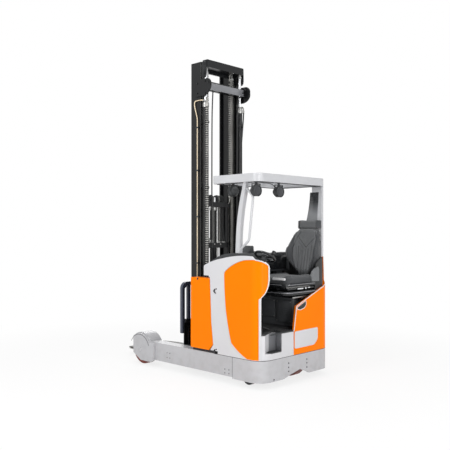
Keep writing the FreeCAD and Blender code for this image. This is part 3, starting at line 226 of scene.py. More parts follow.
# %% The finish class
class Finish(Graph):
    """A material with a Principled shader, patterned in metres."""

    def __init__(self, name, colour, rough, **sockets):
        self.material = bpy.data.materials.new(name)
        self.material.use_nodes = True
        self.material.diffuse_color = colour
        super().__init__(self.material.node_tree)
        self.tree.nodes.clear()
        fixed = {"Roughness": rough, "Base Color": colour}
        fixed.update({key.replace("_", " ").title().replace("Ior", "IOR"): v for key, v in sockets.items()})
        self.shader = self.node("ShaderNodeBsdfPrincipled", None, fixed)
        self.node("ShaderNodeOutputMaterial", None, {"Surface": self.shader.wire("BSDF")})
        self.place = self.node("ShaderNodeTexCoord").wire("Object")
        self.colour, self.rough = colour, rough

    def set(self, name, wire):
        self.tree.links.new(wire.socket, pick(self.shader.node.inputs, name))

    def cloud(self, scale, detail=2.0, stretch=(1, 1, 1), rough=0.5):
        """Noise from 0 to 1, scale bumps a metre, drawn out along an axis by stretch."""
        place = self.place
        if stretch != (1, 1, 1):
            place = self.node("ShaderNodeMapping", None, {"Vector": place, "Scale": stretch}).wire()
        return self.node("ShaderNodeTexNoise", None, {
            "Vector": place, "Scale": scale, "Detail": detail, "Roughness": rough}).wire(0)

    def blend(self, mask, low, high):
        """A colour between two, or two wires of colour, by a mask."""
        return self.node("ShaderNodeMix", {"data_type": "RGBA"}, {
            "Factor": mask, "A": low, "B": high}).wire("Result")

    def axis(self, name):
        return self.node("ShaderNodeSeparateXYZ", None, {"Vector": self.place}).wire(name)

    def relief(self, height, depth):
        """Surface relief, depth metres from the lowest to the highest point."""
        self.set("Normal", self.node("ShaderNodeBump", None, {
            "Height": height, "Distance": depth, "Strength": 1.0}).wire("Normal"))


def shade(colour, factor):
    return (*[min(1.0, c * factor) for c in colour[:3]], 1.0)


print("finish class ready")

# %% [markdown]
# ## Paint
# The truck has three kinds of paint. Body panels are sprayed and baked: a skin
# of tiny ripples, called orange peel, under a clear coat. Castings and frames
# get one thick coat with no clear layer. The mast is black, and oil and dust
# collect on it. One recipe serves them all, with the size of its ripples, its
# drift of colour, its scratches and its road dust as numbers.

# %% Painted metal
def painted(name, colour, rough, coat=0.0, peel=0.00006, drift=0.06, dust=0.25, scratch=0.25, metal=0.0,
            gloss=0.35):
    finish = Finish(name, colour, rough, metallic=metal, coat_weight=coat, coat_roughness=0.12,
                    specular_ior_level=gloss)
    patches = finish.cloud(2.6, 4.0)
    streaks = finish.cloud(9.0, 3.0, (5, 5, 0.5))
    hairs = finish.cloud(60.0, 2.0, (1, 1, 0.06)).steps(0.66, 0.74) * finish.cloud(5.0).steps(0.5, 0.7)
    grime = finish.axis("Z").steps(0.55, 0.02) * finish.cloud(14.0, 5.0).steps(0.38, 0.72) * dust
    base = finish.blend(patches.steps(0.3, 0.7), shade(colour, 1 - drift), shade(colour, 1 + drift))
    base = finish.blend(grime, base, tint(120, 116, 110))
    base = finish.blend(hairs * scratch * 0.5, base, shade(colour, 1.5))
    finish.set("Base Color", base)
    finish.set("Roughness", rough + (streaks - 0.5) * 0.12 + grime * 0.4 + hairs * scratch * 0.2)
    finish.relief(finish.cloud(420.0, 1.0) + finish.cloud(90.0, 2.0) * 0.6, peel)
    return finish.material


finishes = {
    "panel_silver": painted("panel_silver", tint(207, 207, 210), 0.36, 0.35, drift=0.02, dust=0.10,
                            scratch=0.1),
    "chassis_grey": painted("chassis_grey", tint(184, 184, 187), 0.38, 0.3, 0.0001, 0.03, 0.16, 0.15),
    "guard_grey": painted("guard_grey", tint(196, 197, 200), 0.36, 0.3, drift=0.025, dust=0.0,
                          scratch=0.12),
    "orange_paint": painted("orange_paint", tint(255, 127, 0), 0.3, 0.04, drift=0.012, dust=0.03,
                            scratch=0.04, gloss=0.04),
    "black_paint": painted("black_paint", tint(18, 19, 21), 0.3, 0.16, 0.00012, 0.18, 0.25, 0.5,
                           gloss=0.22),
    "fork_black": painted("fork_black", tint(38, 38, 40), 0.42, 0.0, 0.0002, 0.25, 0.6, 0.9),
    "slate_paint": painted("slate_paint", tint(64, 69, 84), 0.4, 0.2, 0.0001, 0.08, 0.3, 0.3),
    "satin_grey": painted("satin_grey", tint(132, 133, 137), 0.34, 0.2, 0.00008, 0.08, 0.0, 0.4, 0.3),
}
print("paints", sorted(finishes))

# %% [markdown]
# ## Moulded plastic
# Dash covers and seat shells are moulded in tools whose faces are etched like
# leather. The grain is a network of cells about a millimetre across, which a
# Voronoi texture draws well: the distance to the nearest cell edge is the
# valley between two grains.

# %% Grained plastic
def moulded(name, colour, rough, grain=620.0, depth=0.00014, drift=0.12):
    finish = Finish(name, colour, rough, specular_ior_level=0.45)
    cells = finish.node("ShaderNodeTexVoronoi", {"feature": "DISTANCE_TO_EDGE"}, {
        "Vector": finish.place, "Scale": grain}).wire("Distance")
    wiped = finish.cloud(6.0, 4.0)
    dusty = finish.cloud(18.0, 5.0).steps(0.52, 0.8) * 0.25
    base = finish.blend(wiped.steps(0.3, 0.75), shade(colour, 1 - drift), shade(colour, 1 + drift * 1.5))
    base = finish.blend(dusty * 0.35, base, tint(126, 124, 120))
    finish.set("Base Color", base)
    finish.set("Roughness", rough + (wiped - 0.5) * 0.16 + dusty * 0.3)
    finish.relief(cells.steps(0.0, 0.16) + finish.cloud(grain * 2.0, 1.0) * 0.25, depth)
    return finish.material


finishes["black_plastic"] = moulded("black_plastic", tint(44, 46, 48), 0.46)
finishes["gloss_plastic"] = moulded("gloss_plastic", tint(26, 27, 29), 0.22, 900.0, 0.00004, 0.08)
finishes["grey_plastic"] = moulded("grey_plastic", tint(118, 120, 122), 0.5)
finishes["seat_shell"] = moulded("seat_shell", tint(88, 90, 93), 0.4)
finishes["seat_cover_grey"] = moulded("seat_cover_grey", tint(112, 114, 116), 0.5)
finishes["pale_plastic"] = moulded("pale_plastic", tint(226, 226, 227), 0.4, 900.0, 0.00004, 0.04)
finishes["lamp_glass"] = moulded("lamp_glass", tint(50, 52, 56), 0.1, 300.0, 0.00008, 0.1)
print("plastics", [n for n in finishes if "plastic" in n])

# %% [markdown]
# ## Rubber, polyurethane and cast iron
# The load and drive wheels carry a band of cast polyurethane, a hard rubber
# that is dark red brown when new and dull where it rolls. The step has a
# rubber mat. Hubs are sand castings, so their relief is coarse and uneven.

# %% Rubber and castings
def rubbery(name, colour, rough, scuff, grain=300.0, depth=0.0002):
    finish = Finish(name, colour, rough)
    worn = finish.cloud(22.0, 5.0).steps(0.42, 0.7)
    fine = finish.cloud(grain, 3.0)
    finish.set("Base Color", finish.blend(worn * 0.7, colour, scuff))
    finish.set("Roughness", rough + worn * 0.15 + (fine - 0.5) * 0.12)
    finish.relief(fine + worn * 0.4, depth)
    return finish.material


finishes["rubber_mat"] = rubbery("rubber_mat", tint(40, 41, 43), 0.72, tint(74, 74, 74))
finishes["tread_red"] = rubbery("tread_red", tint(118, 48, 34), 0.5, tint(92, 52, 44), 160.0)
finishes["caster_black"] = rubbery("caster_black", tint(34, 35, 36), 0.6, tint(62, 62, 62))
finishes["hose_rubber"] = rubbery("hose_rubber", tint(30, 31, 32), 0.5, tint(52, 52, 52), 500.0, 0.0001)
finishes["wheel_iron"] = painted("wheel_iron", tint(74, 76, 78), 0.55, 0.0, 0.0004, 0.2, 0.5, 0.4)
print("rubbers ready")

# %% [markdown]
# ## Bare metal
# The lift rods are ground and hard chromed, so they are mirror bright with
# hardly visible rings. Fittings are zinc plated: a soft grey yellow sheen that
# breaks up into patches. Chain plates are pale bare steel with a little dust.

# %% Metals
def metallic(name, colour, rough, patches=0.15, grind=(1, 1, 8), depth=0.00002):
    finish = Finish(name, colour, rough, metallic=1.0)
    bloom = finish.cloud(55.0, 4.0)
    marks = finish.cloud(240.0, 2.0, grind)
    finish.set("Base Color", finish.blend(bloom.steps(0.3, 0.75), shade(colour, 1 - patches), colour))
    finish.set("Roughness", rough + (bloom - 0.5) * 0.2 + (marks - 0.5) * 0.12)
    finish.relief(marks, depth)
    return finish.material


finishes["chrome_rod"] = metallic("chrome_rod", tint(232, 233, 235), 0.16, 0.04)
finishes["zinc"] = metallic("zinc", tint(176, 176, 174), 0.34, 0.25, (1, 1, 1))
finishes["chain_steel"] = painted("chain_steel", tint(158, 157, 153), 0.32, 0.2, 0.00006, 0.3, 0.1, 0.6,
                                  0.45)
finishes["pipe_tan"] = painted("pipe_tan", tint(226, 208, 178), 0.3, 0.4, 0.00004, 0.04, 0.0, 0.1)
print("finishes", len(finishes))

# %% [markdown]
# ## Dressing the CAD nodes
# Each CAD node arrives with a plain material named after its slot in the
# record. Swapping the material in the object's own slot leaves the mesh
# untouched.

# %% Put the finishes on the CAD nodes
seat_pads = {"seat_cushion", "seat_backrest", "headrest"}
special = {"steering_wheel": "gloss_plastic", "seat_suspension": "gloss_plastic", "seat_base": "seat_shell"}
for name, node in sorted(nodes.items()):
    if name in seat_pads:
        continue
    for slot_number, old in enumerate(node.data.materials):
        node.material_slots[slot_number].link = "OBJECT"
        node.material_slots[slot_number].material = finishes[special.get(name, old.name.split(".")[0])]
print("dressed", len(nodes) - len(seat_pads), "nodes")

# %% [markdown]
# ## Stock and tools
# Small metal and plastic pieces are made the way a shop makes them: from bars,
# turned parts and cut plates. A class collects such shapes in one mesh. Each
# edge gets a small round, because no real edge is perfectly sharp and the
# bright line along a rounded edge is what makes a part look solid. At the end
# the faces are turned outwards.

# %% A mesh built from stock
class Stock:
    """Bars, rods, turned shapes and cut plates, collected into one piece."""

    def __init__(self):
        self.mesh = bmesh.new()

    def bar(self, low, high, edge=0.0015):
        made = bmesh.ops.create_cube(self.mesh, size=1.0)["verts"]
        for corner in made:
            corner.co = Vector([low[i] + (corner.co[i] + 0.5) * (high[i] - low[i]) for i in range(3)])
        if edge:
            edges = list({e for v in made for e in v.link_edges})
            bmesh.ops.bevel(self.mesh, geom=edges, offset=edge, segments=2, profile=0.5, affect="EDGES")
        return self

    def turned(self, start, along, profile, sides=24):
        """A lathe shape; profile is (distance along, radius) from one end to the other."""
        axis = Vector(along).normalized()
        across = axis.orthogonal().normalized()
        third = axis.cross(across)
        rings = []
        for distance, radius in profile:
            centre = Vector(start) + axis * distance
            if radius < 1e-6:
                rings.append([self.mesh.verts.new(centre)])
                continue
            turn = [2 * math.pi * k / sides for k in range(sides)]
            rings.append([self.mesh.verts.new(centre + (across * math.cos(t) + third * math.sin(t)) * radius)
                          for t in turn])
        for low, high in zip(rings, rings[1:]):
            for k in range(sides):
                j = (k + 1) % sides
                ring = [low[k % len(low)], low[j % len(low)], high[j % len(high)], high[k % len(high)]]
                self.mesh.faces.new(list(dict.fromkeys(ring)))
        for ring in (rings[0], rings[-1]):
            if len(ring) > 2:
                self.mesh.faces.new(ring)
        return self

    def rod(self, start, end, radius, sides=20, edge=0.001):
        along = Vector(end) - Vector(start)
        long = along.length
        return self.turned(start, along, [(0, radius - edge), (edge, radius), (long - edge, radius),
                                          (long, radius - edge)], sides)

    def plate(self, outline, axis, low, high, edge=0.001):
        """A plate cut to an outline, given in the two directions that follow axis."""
        order = [(axis + 1) % 3, (axis + 2) % 3]
        sides = []
        for depth in (low, high):
            ring = []
            for point in outline:
                place = [0.0, 0.0, 0.0]
                place[axis], place[order[0]], place[order[1]] = depth, point[0], point[1]
                ring.append(self.mesh.verts.new(place))
            sides.append(ring)
        faces = [self.mesh.faces.new(sides[0]), self.mesh.faces.new(sides[1])]
        for k in range(len(outline)):
            j = (k + 1) % len(outline)
            faces.append(self.mesh.faces.new((sides[0][k], sides[0][j], sides[1][j], sides[1][k])))
        if edge:
            rim = list({e for f in faces[:2] for e in f.edges})
            bmesh.ops.bevel(self.mesh, geom=rim, offset=edge, segments=2, profile=0.5, affect="EDGES")
        return self

    def done(self, name, finish, body, slot=None, sharp=35):
        bmesh.ops.recalc_face_normals(self.mesh, faces=self.mesh.faces)
        data = bpy.data.meshes.new(name)
        self.mesh.to_mesh(data)
        self.mesh.free()
        return hang(name, data, finish, body, slot, sharp)


print("stock ready")

# %% [markdown]
# Every piece, however it is made, is hung the same way: it gets its finish and
# smooth shading with sharp edges kept, and it rides one body of the CAD.

# %% Hanging a piece on its body
def arc_points(centre, radius, angles):
    """Points of a circle in a plane, one for each angle."""
    return [(centre[0] + radius * math.cos(t), centre[1] + radius * math.sin(t)) for t in angles]


both_sides = ((1, "left"), (-1, "right"))
record_slots = {row["slot"] for row in frame["record"]["materials"]}


def hang(name, data, finish, body, slot=None, sharp=35):
    """Makes a finished piece of a mesh: material, smooth shading, and the body it rides on."""
    data.materials.clear()
    data.materials.append(finishes[finish])
    data.polygons.foreach_set("use_smooth", [True] * len(data.polygons))
    data.set_sharp_from_angle(angle=math.radians(sharp))
    piece = bpy.data.objects.new(name, data)
    bpy.context.scene.collection.objects.link(piece)
    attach(piece, body)
    slot = slot or (finish if finish in record_slots else None)
    print(name, len(data.polygons), "faces on", body)
    return piece


def mesh_of(thing, name):
    """The evaluated mesh of an object, which is then removed."""
    graph = bpy.context.evaluated_depsgraph_get()
    data = bpy.data.meshes.new_from_object(thing.evaluated_get(graph), depsgraph=graph)
    data.name = name
    bpy.data.objects.remove(thing)
    return data


print("material slots in the record", len(record_slots))

# %% [markdown]
# Pipes and hoses are swept along a line. A NURBS curve with a round bevel does
# that, and passes smoothly by its control points the way a bent pipe does.
# Steel pipe, rubber hose and cable differ only in thickness and finish.

# %% Pipes and hoses
def pipe(name, points, radius, finish, body, slot=None, rounds=3):
    line = bpy.data.curves.new(name, "CURVE")
    line.dimensions, line.bevel_depth, line.bevel_resolution = "3D", radius, rounds
    line.use_fill_caps, line.resolution_u = True, 5
    spline = line.splines.new("NURBS")
    spline.points.add(len(points) - 1)
    for control, point in zip(spline.points, points):
        control.co = (*point, 1.0)
    spline.order_u, spline.use_endpoint_u = 3, True
    carrier = bpy.data.objects.new(name, line)
    bpy.context.scene.collection.objects.link(carrier)
    return hang(name, mesh_of(carrier, name), finish, body, slot, 60)


print("pipes ready")

# %% [markdown]
# ## Padded seat
# The operator sits sideways on a sprung seat: a cushion, a tall backrest with
# side bolsters, and a headrest. Each is foam under a sewn cover, so it is
# fullest in the middle and drawn in along its seams. One could sculpt that by
# hand, but a cloth simulation finds the same balance by itself. The plain CAD
# pad is copied, made a little smaller, given an even skin of small faces, and
# blown up like a balloon for twenty frames. A cap keeps every point near where
# it started.

# %% Foam under cloth
def skin(data, fine):
    """The same solid with an even skin of small faces."""
    carrier = bpy.data.objects.new("skin", data)
    bpy.context.scene.collection.objects.link(carrier)
    remesh = carrier.modifiers.new("skin", "REMESH")
    remesh.mode, remesh.voxel_size = "VOXEL", fine
    return mesh_of(carrier, "skin")


def shrunk(data, by):
    """The mesh with every side drawn in by a distance."""
    points = [v.co.copy() for v in data.vertices]
    low = Vector([min(p[i] for p in points) for i in range(3)])
    high = Vector([max(p[i] for p in points) for i in range(3)])
    middle, size = (low + high) / 2, high - low
    for vertex in data.vertices:
        for i in range(3):
            vertex.co[i] = middle[i] + (vertex.co[i] - middle[i]) * (size[i] - 2 * by) / size[i]
    return data


def blown(data, cap):
    """The mesh after twenty frames of gentle pressure, no point moved further than cap."""
    carrier = bpy.data.objects.new("blown", data)
    bpy.context.scene.collection.objects.link(carrier)
    cloth = carrier.modifiers.new("cloth", "CLOTH")
    cloth.settings.quality, cloth.settings.mass = 4, 0.3
    cloth.settings.use_pressure, cloth.settings.uniform_pressure_force = True, 4.0
    cloth.settings.effector_weights.gravity = 0.0
    frames = 20
    cloth.point_cache.frame_start, cloth.point_cache.frame_end = 1, frames
    start = [v.co.copy() for v in data.vertices]
    for frame_number in range(1, frames + 1):
        bpy.context.scene.frame_set(frame_number)
    carrier_mesh = mesh_of(carrier, "blown")
    bpy.context.scene.frame_set(1)
    furthest = 0.0
    for vertex, old in zip(carrier_mesh.vertices, start):
        move = vertex.co - old
        furthest = max(furthest, move.length)
        if move.length > cap:
            vertex.co = old + move.normalized() * cap
    print("blown up by", round(furthest * 1000, 1), "mm, capped at", round(cap * 1000, 1))
    return carrier_mesh


print("cloth tools ready, quick run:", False)

# %% [markdown]
# The CAD mesh has a point of its own for every face that meets at a corner.
# They are merged in the copy, so that it is one closed skin. After the
# simulation, one level of subdivision makes room for the seams.

# %% Copying a pad and making it finer
def finer(data):
    """One level of subdivision."""
    carrier = bpy.data.objects.new("finer", data)
    bpy.context.scene.collection.objects.link(carrier)
    step = carrier.modifiers.new("finer", "SUBSURF")
    step.levels = step.render_levels = 1
    return mesh_of(carrier, "finer")


def node_copy(name):
    """A merged copy of a CAD node's mesh."""
    mesh = bmesh.new()
    mesh.from_mesh(nodes[name].data)
    bmesh.ops.remove_doubles(mesh, verts=mesh.verts, dist=0.0002)
    bmesh.ops.recalc_face_normals(mesh, faces=mesh.faces)
    data = bpy.data.meshes.new(name + "_copy")
    mesh.to_mesh(data)
    mesh.free()
    return data


print("pad tools ready")

# %% [markdown]
# The cover is a woven cloth: warp and weft threads about a millimetre apart
# pass over and under each other. The product of two crossed sine waves gives
# that relief without any image. There are two cloths, a lighter one for the
# insert and a darker one for the sides, and both are rubbed paler in patches,
# as wear does.

# %% Woven cover
def woven(name, colour, worn):
    finish = Finish(name, colour, 0.86, sheen_weight=0.25, sheen_roughness=0.5)
    across, along, up = finish.axis("X"), finish.axis("Y"), finish.axis("Z")
    thread_pitch = 0.0022
    pitch = 2 * math.pi / thread_pitch
    warp = (across * pitch).sine()
    weft = ((along * 0.8 + up) * pitch).sine()
    weave = warp * weft * 0.5 + 0.5
    fluff = finish.cloud(900.0, 2.0)
    rubbed = finish.cloud(7.0, 4.0).steps(0.4, 0.75)
    base = finish.blend(rubbed * 0.5, colour, worn)
    base = finish.blend(weave * 0.4 + fluff * 0.2, shade(colour, 0.55), base)
    # The cloth is painted darker along each seam: painted shade in the seam's valley.
    seam_shade = finish.node("ShaderNodeAttribute", {"attribute_name": "seam"}).wire("Fac")
    finish.set("Base Color", finish.blend(seam_shade * 0.75, base, shade(colour, 0.25)))
    finish.set("Roughness", 0.9 - rubbed * 0.12)
    finish.relief(weave + fluff * 0.5, 0.0004)
    return finish.material


finishes["seat_fabric"] = woven("seat_fabric", tint(112, 114, 116), tint(134, 136, 138))
finishes["seat_side"] = woven("seat_side", tint(74, 76, 79), tint(98, 100, 102))
print("cloths ready")

# %% [markdown]
# Seams come after the simulation, because an even skin can't hold a crease
# narrower than its faces. Each seam is a line on the pad. Points near the line
# sink along a narrow valley, and the cover bulges a little on both sides, as
# cloth does beside a row of stitches.

# %% Seams
def to_line(a, b, p, q):
    """Distance in a plane from the point (a, b) to the stretch from p to q."""
    along = (q[0] - p[0], q[1] - p[1])
    share = ((a - p[0]) * along[0] + (b - p[1]) * along[1]) / (along[0] ** 2 + along[1] ** 2)
    share = max(0.0, min(1.0, share))
    return math.hypot(a - p[0] - along[0] * share, b - p[1] - along[1] * share)


def sew(data, lines, plane, facing, deep=0.0075, narrow=0.0042):
    """Sinks seams into the side of a pad; plane is the pair of axes the lines are drawn in."""
    stretches = [(p, q) for line in lines for p, q in zip(line, line[1:])]
    normals = [v.normal.copy() for v in data.vertices]
    seam_shade_weight = data.attributes.new("seam", "FLOAT", "POINT")
    for vertex, normal in zip(data.vertices, normals):
        front = normal.dot(facing)
        if front < 0.15:
            continue
        a, b = vertex.co[plane[0]], vertex.co[plane[1]]
        near = min(to_line(a, b, p, q) for p, q in stretches)
        if near > 0.05:
            continue
        sink = math.exp(-(near / narrow) ** 2) - 0.35 * math.exp(-((near - 0.016) / 0.01) ** 2)
        vertex.co -= normal * deep * sink * min(1.0, front * 2)
        # The seam attribute weights the painted shade in the seam's valley.
        seam_shade_weight.data[vertex.index].value = math.exp(-(near / (narrow * 0.8)) ** 2)
    return data


def two_tone(piece, inside, second):
    """Gives the faces outside a region the second finish."""
    piece.data.materials.append(finishes[second])
    for face in piece.data.polygons:
        if not inside(face.center, face.normal):
            face.material_index = 1
    return piece


print("seams ready")

# %% [markdown]
# The cushion lies on a moulded pan. Its side bolsters stand a little higher
# than the middle, so the operator is held when the truck corners, and its
# front edge rolls down under the knees.

# %% Seat cushion
pad_low, pad_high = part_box("seat_cushion")
form = shrunk(node_copy("seat_cushion"), 0.010)
form = skin(form, 0.0065)
pan_high = pad_low.z + 0.038
side_of = (pad_low.x + pad_high.x) / 2
half_wide = (pad_high.x - pad_low.x) / 2
for vertex in form.vertices:
    height = (vertex.co.z - pad_low.z) / (pad_high.z - pad_low.z)
    out = abs(vertex.co.x - side_of) / half_wide
    front = max(0.0, (vertex.co.y - (pad_high.y - 0.12)) / 0.12)
    dip = 0.020 * (1 - min(1.0, (out / 0.72) ** 4)) + 0.012 * front ** 2
    vertex.co.z = pan_high + (vertex.co.z - pad_low.z) * (pad_high.z - pan_high) / (pad_high.z - pad_low.z)
    vertex.co.z -= dip * max(0.0, height)
form = finer(blown(form, 0.010))
form.update()
cushion_seams = [
    [(side_of - 0.145, pad_low.y + 0.02), (side_of - 0.15, pad_high.y - 0.06),
     (side_of - 0.13, pad_high.y)],
    [(side_of + 0.145, pad_low.y + 0.02), (side_of + 0.15, pad_high.y - 0.06),
     (side_of + 0.13, pad_high.y)],
    [(side_of - 0.148, pad_high.y - 0.15), (side_of, pad_high.y - 0.165),
     (side_of + 0.148, pad_high.y - 0.15)]]
for step in (-0.072, -0.024, 0.024, 0.072):
    cushion_seams.append([(side_of + step, pad_low.y + 0.05), (side_of + step, pad_high.y - 0.17)])
sew(form, cushion_seams, (0, 1), Vector((0, 0, 1)))
cushion = hang("seat_cushion_cover", form, "seat_fabric", "chassis", "seat_fabric", 180)
two_tone(cushion, lambda place, normal: abs(place.x - side_of) < 0.148 and normal.z > 0.2, "seat_side")
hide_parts("seat_cushion")

# %% [markdown]
# The backrest narrows to the shoulders and flares into bolsters at the waist.
# Two tables give its outline at each height, and every point of the padded
# skin is moved across in proportion. The front is then hollowed a little in
# the middle and raised at the sides, before it is blown up.

# %% Seat backrest
back_low, back_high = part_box("seat_backrest")
form = shrunk(node_copy("seat_backrest"), 0.009)
form = skin(form, 0.0055)


def between(z, table):
    """Straight steps between the rows of a table of heights and values."""
    for (low, a), (high, b) in zip(table, table[1:]):
        if z <= high:
            return a + (b - a) * max(0.0, z - low) / (high - low)
    return table[-1][1]


sides = {}
for vertex in form.vertices:
    key = round(vertex.co.z / 0.02)
    low, high = sides.get(key, (9.0, -9.0))
    sides[key] = (min(low, vertex.co.x), max(high, vertex.co.x))
levels = sorted(sides)
lows = [(key * 0.02, sides[key][0]) for key in levels]
highs = [(key * 0.02, sides[key][1]) for key in levels]
front_side = [(1.10, -1.030), (1.142, -0.998), (1.163, -0.975), (1.195, -0.935), (1.238, -0.882),
              (1.294, -0.836), (1.339, -0.815), (1.374, -0.807), (1.42, -0.811), (1.49, -0.838),
              (1.57, -0.872), (1.61, -0.900), (1.64, -0.940)]
rear_side = [(1.10, -1.120), (1.163, -1.160), (1.21, -1.192), (1.27, -1.222), (1.33, -1.240),
             (1.40, -1.240), (1.49, -1.226), (1.58, -1.226), (1.62, -1.210), (1.64, -1.175)]
for vertex in form.vertices:
    low, high = between(vertex.co.z, lows), between(vertex.co.z, highs)
    share = (vertex.co.x - low) / (high - low)
    vertex.co.z = back_low.z + (vertex.co.z - back_low.z) * 1.072
    left, right = between(vertex.co.z, rear_side), between(vertex.co.z, front_side)
    vertex.co.x = left + (right - left) * share
for vertex in form.vertices:
    lean = (vertex.co.z - back_low.z) / (back_high.z - back_low.z)
    front = (vertex.co.y - (back_low.y + 0.10 * (1 - lean))) / 0.09
    waist = math.exp(-((lean - 0.42) / 0.3) ** 2)
    out = abs(vertex.co.x - (back_low.x + back_high.x) / 2) / 0.205
    if front > 0.4:
        vertex.co.y -= 0.016 * (1 - min(1.0, (out / 0.75) ** 4)) * (0.4 + 0.6 * waist)
        wing = math.exp(-((vertex.co.z - 1.38) / 0.10) ** 2)
        vertex.co.y += 0.024 * wing * min(1.0, max(0.0, (out - 0.55) / 0.35)) ** 2
form = finer(blown(form, 0.010))
form.update()
print("backrest shaped,", len(form.vertices), "points")

# %% [markdown]
# The insert is sewn in upright channels that meet in a broad V under the
# shoulders. The seams are drawn as lines across and up, and sewn into the
# front. Faces outside the insert take the darker cloth.

# %% Backrest seams and cloths
back_seams = [
    [(-0.9715, 1.5377), (-1.0211, 1.4855), (-1.0785, 1.4273)],
    [(-1.1914, 1.5268), (-1.1352, 1.4806), (-1.0866, 1.4275)],
    [(-0.9798, 1.432), (-0.9963, 1.2224), (-1.0, 1.13)],
    [(-1.0376, 1.3805), (-1.0458, 1.2243), (-1.048, 1.13)],
    [(-1.0826, 1.42), (-1.0826, 1.13)],
    [(-1.1191, 1.4086), (-1.1231, 1.2274), (-1.122, 1.13)],
    [(-1.1674, 1.4421), (-1.1634, 1.2732), (-1.158, 1.13)],
    [(-0.985, 1.60), (-0.938, 1.5307), (-0.905, 1.4105), (-0.913, 1.2976), (-0.955, 1.2211),
     (-0.965, 1.12)],
    [(-1.19, 1.60), (-1.21, 1.5307), (-1.222, 1.4105), (-1.216, 1.2976), (-1.186, 1.2211), (-1.17, 1.12)]]
sew(form, back_seams, (0, 2), Vector((0, 1, 0.2)))
backrest = hang("seat_backrest_cover", form, "seat_fabric", "chassis", "seat_fabric", 180)


def in_insert(place, normal):
    edge = 0.146 if place.z > 1.33 else 0.146 - 0.35 * (1.33 - place.z)
    return normal.y > 0.25 and abs(place.x + 1.061) < max(0.10, edge)


two_tone(backrest, in_insert, "seat_side")
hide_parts("seat_backrest")

# %% [markdown]
# The headrest is a wide, low block of foam on two posts. It starts from a
# bevelled outline of its own, since it is wider than the plain CAD pad, and
# then takes the same steps as the other pads.

# %% Headrest
rest_low, rest_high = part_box("headrest")
pad_foot = rest_high.z - 0.114
block = Stock().plate([(rest_low.y + 0.010, pad_foot + 0.008), (rest_high.y - 0.010, pad_foot + 0.008),
                       (rest_high.y - 0.014, rest_high.z - 0.012),
                       (rest_low.y + 0.012, rest_high.z - 0.008)],
                      0, rest_low.x - 0.018, rest_high.x + 0.010, 0.018)
bmesh.ops.recalc_face_normals(block.mesh, faces=block.mesh.faces)
form = bpy.data.meshes.new("headrest_block")
block.mesh.to_mesh(form)
block.mesh.free()
form = finer(blown(skin(form, 0.005), 0.008))
form.update()
head_middle = (rest_low.x + rest_high.x) / 2
sew(form, [[(head_middle - 0.112, pad_foot), (head_middle - 0.112, rest_high.z)],
           [(head_middle + 0.112, pad_foot), (head_middle + 0.112, rest_high.z)]],
    (0, 2), Vector((0, 1, 0)), 0.004, 0.004)
headrest = hang("headrest_cover", form, "seat_fabric", "chassis", "seat_fabric", 180)
two_tone(headrest, lambda place, normal: abs(place.x - head_middle) < 0.112 and normal.y > -0.2,
         "seat_side")
posts = Stock()
for offset in (-0.06, 0.06):
    posts.rod((-1.05 + offset, -0.502, 1.60), (-1.05 + offset, -0.502, pad_foot + 0.03), 0.007)
    posts.turned((-1.05 + offset, -0.502, 1.612), (0, 0, 1), [(0, 0.015), (0.008, 0.015), (0.014, 0.010)])
posts.done("headrest_posts", "black_plastic", "chassis")
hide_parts("headrest")

# %% [markdown]
# ## Copies on points
# Screws, chain links and hose rings are one shape many times over. Geometry
# Nodes is the tool for that: a cloud of points carries a direction each, and
# the tree puts a copy on every point and turns it to face that way. The sizes
# are inputs of the tree, so one tree makes an M8 or an M20 screw. A seeded
# random turn keeps hexagons from lining up like soldiers.

# %% A tree that copies a shape to points
def copies(name, shape, places, facings, finish, body, spin=0.0, seed=3, **sizes):
    points = bpy.data.meshes.new(name)
    points.from_pydata([tuple(p) for p in places], [], [])
    stored = points.attributes.new("facing", "FLOAT_VECTOR", "POINT")
    stored.data.foreach_set("vector", [c for f in facings for c in f])
    tree = bpy.data.node_groups.new(name, "GeometryNodeTree")
    graph = Graph(tree)
    face = tree.interface
    face.new_socket("Points", in_out="INPUT", socket_type="NodeSocketGeometry")
    face.new_socket("Pieces", in_out="OUTPUT", socket_type="NodeSocketGeometry")
    keys = {"seed": face.new_socket("seed", in_out="INPUT", socket_type="NodeSocketInt").identifier}
    for key in sizes:
        keys[key] = face.new_socket(key, in_out="INPUT", socket_type="NodeSocketFloat").identifier
    given = graph.node("NodeGroupInput")
    piece = shape(graph, {key: given.wire(key) for key in sizes})
    facing = graph.node("GeometryNodeInputNamedAttribute", {"data_type": "FLOAT_VECTOR"},
                        {"Name": "facing"}).wire("Attribute")
    aimed = graph.node("FunctionNodeAlignRotationToVector", {"axis": "Z"},
                       {"Vector": facing}).wire("Rotation")
    angle = graph.node("FunctionNodeRandomValue", {"data_type": "FLOAT"},
                       {"Min": 0.0, "Max": spin, "Seed": given.wire("seed")}).wire("Value")
    twist = graph.node("FunctionNodeAxisAngleToRotation", None,
                       {"Axis": (0, 0, 1), "Angle": angle}).wire("Rotation")
    both = graph.node("FunctionNodeRotateRotation", {"rotation_space": "LOCAL"},
                      {"Rotation": aimed, "Rotate By": twist}).wire("Rotation")
    placed = graph.node("GeometryNodeInstanceOnPoints", None, {
        "Points": given.wire("Points"), "Instance": piece, "Rotation": both}).wire("Instances")
    solid = graph.node("GeometryNodeRealizeInstances", None, {"Geometry": placed}).wire("Geometry")
    done = graph.node("GeometryNodeSetMaterial", None, {"Geometry": solid, "Material": finishes[finish]})
    graph.node("NodeGroupOutput", None, {"Pieces": done.wire("Geometry")})
    carrier = bpy.data.objects.new(name, points)
    bpy.context.scene.collection.objects.link(carrier)
    modifier = carrier.modifiers.new("copies", "NODES")
    modifier.node_group = tree
    modifier[keys["seed"]] = seed
    for key, value in sizes.items():
        modifier[keys[key]] = value
    return hang(name, mesh_of(carrier, name), finish, body, None, 35)


print("copying tree ready")

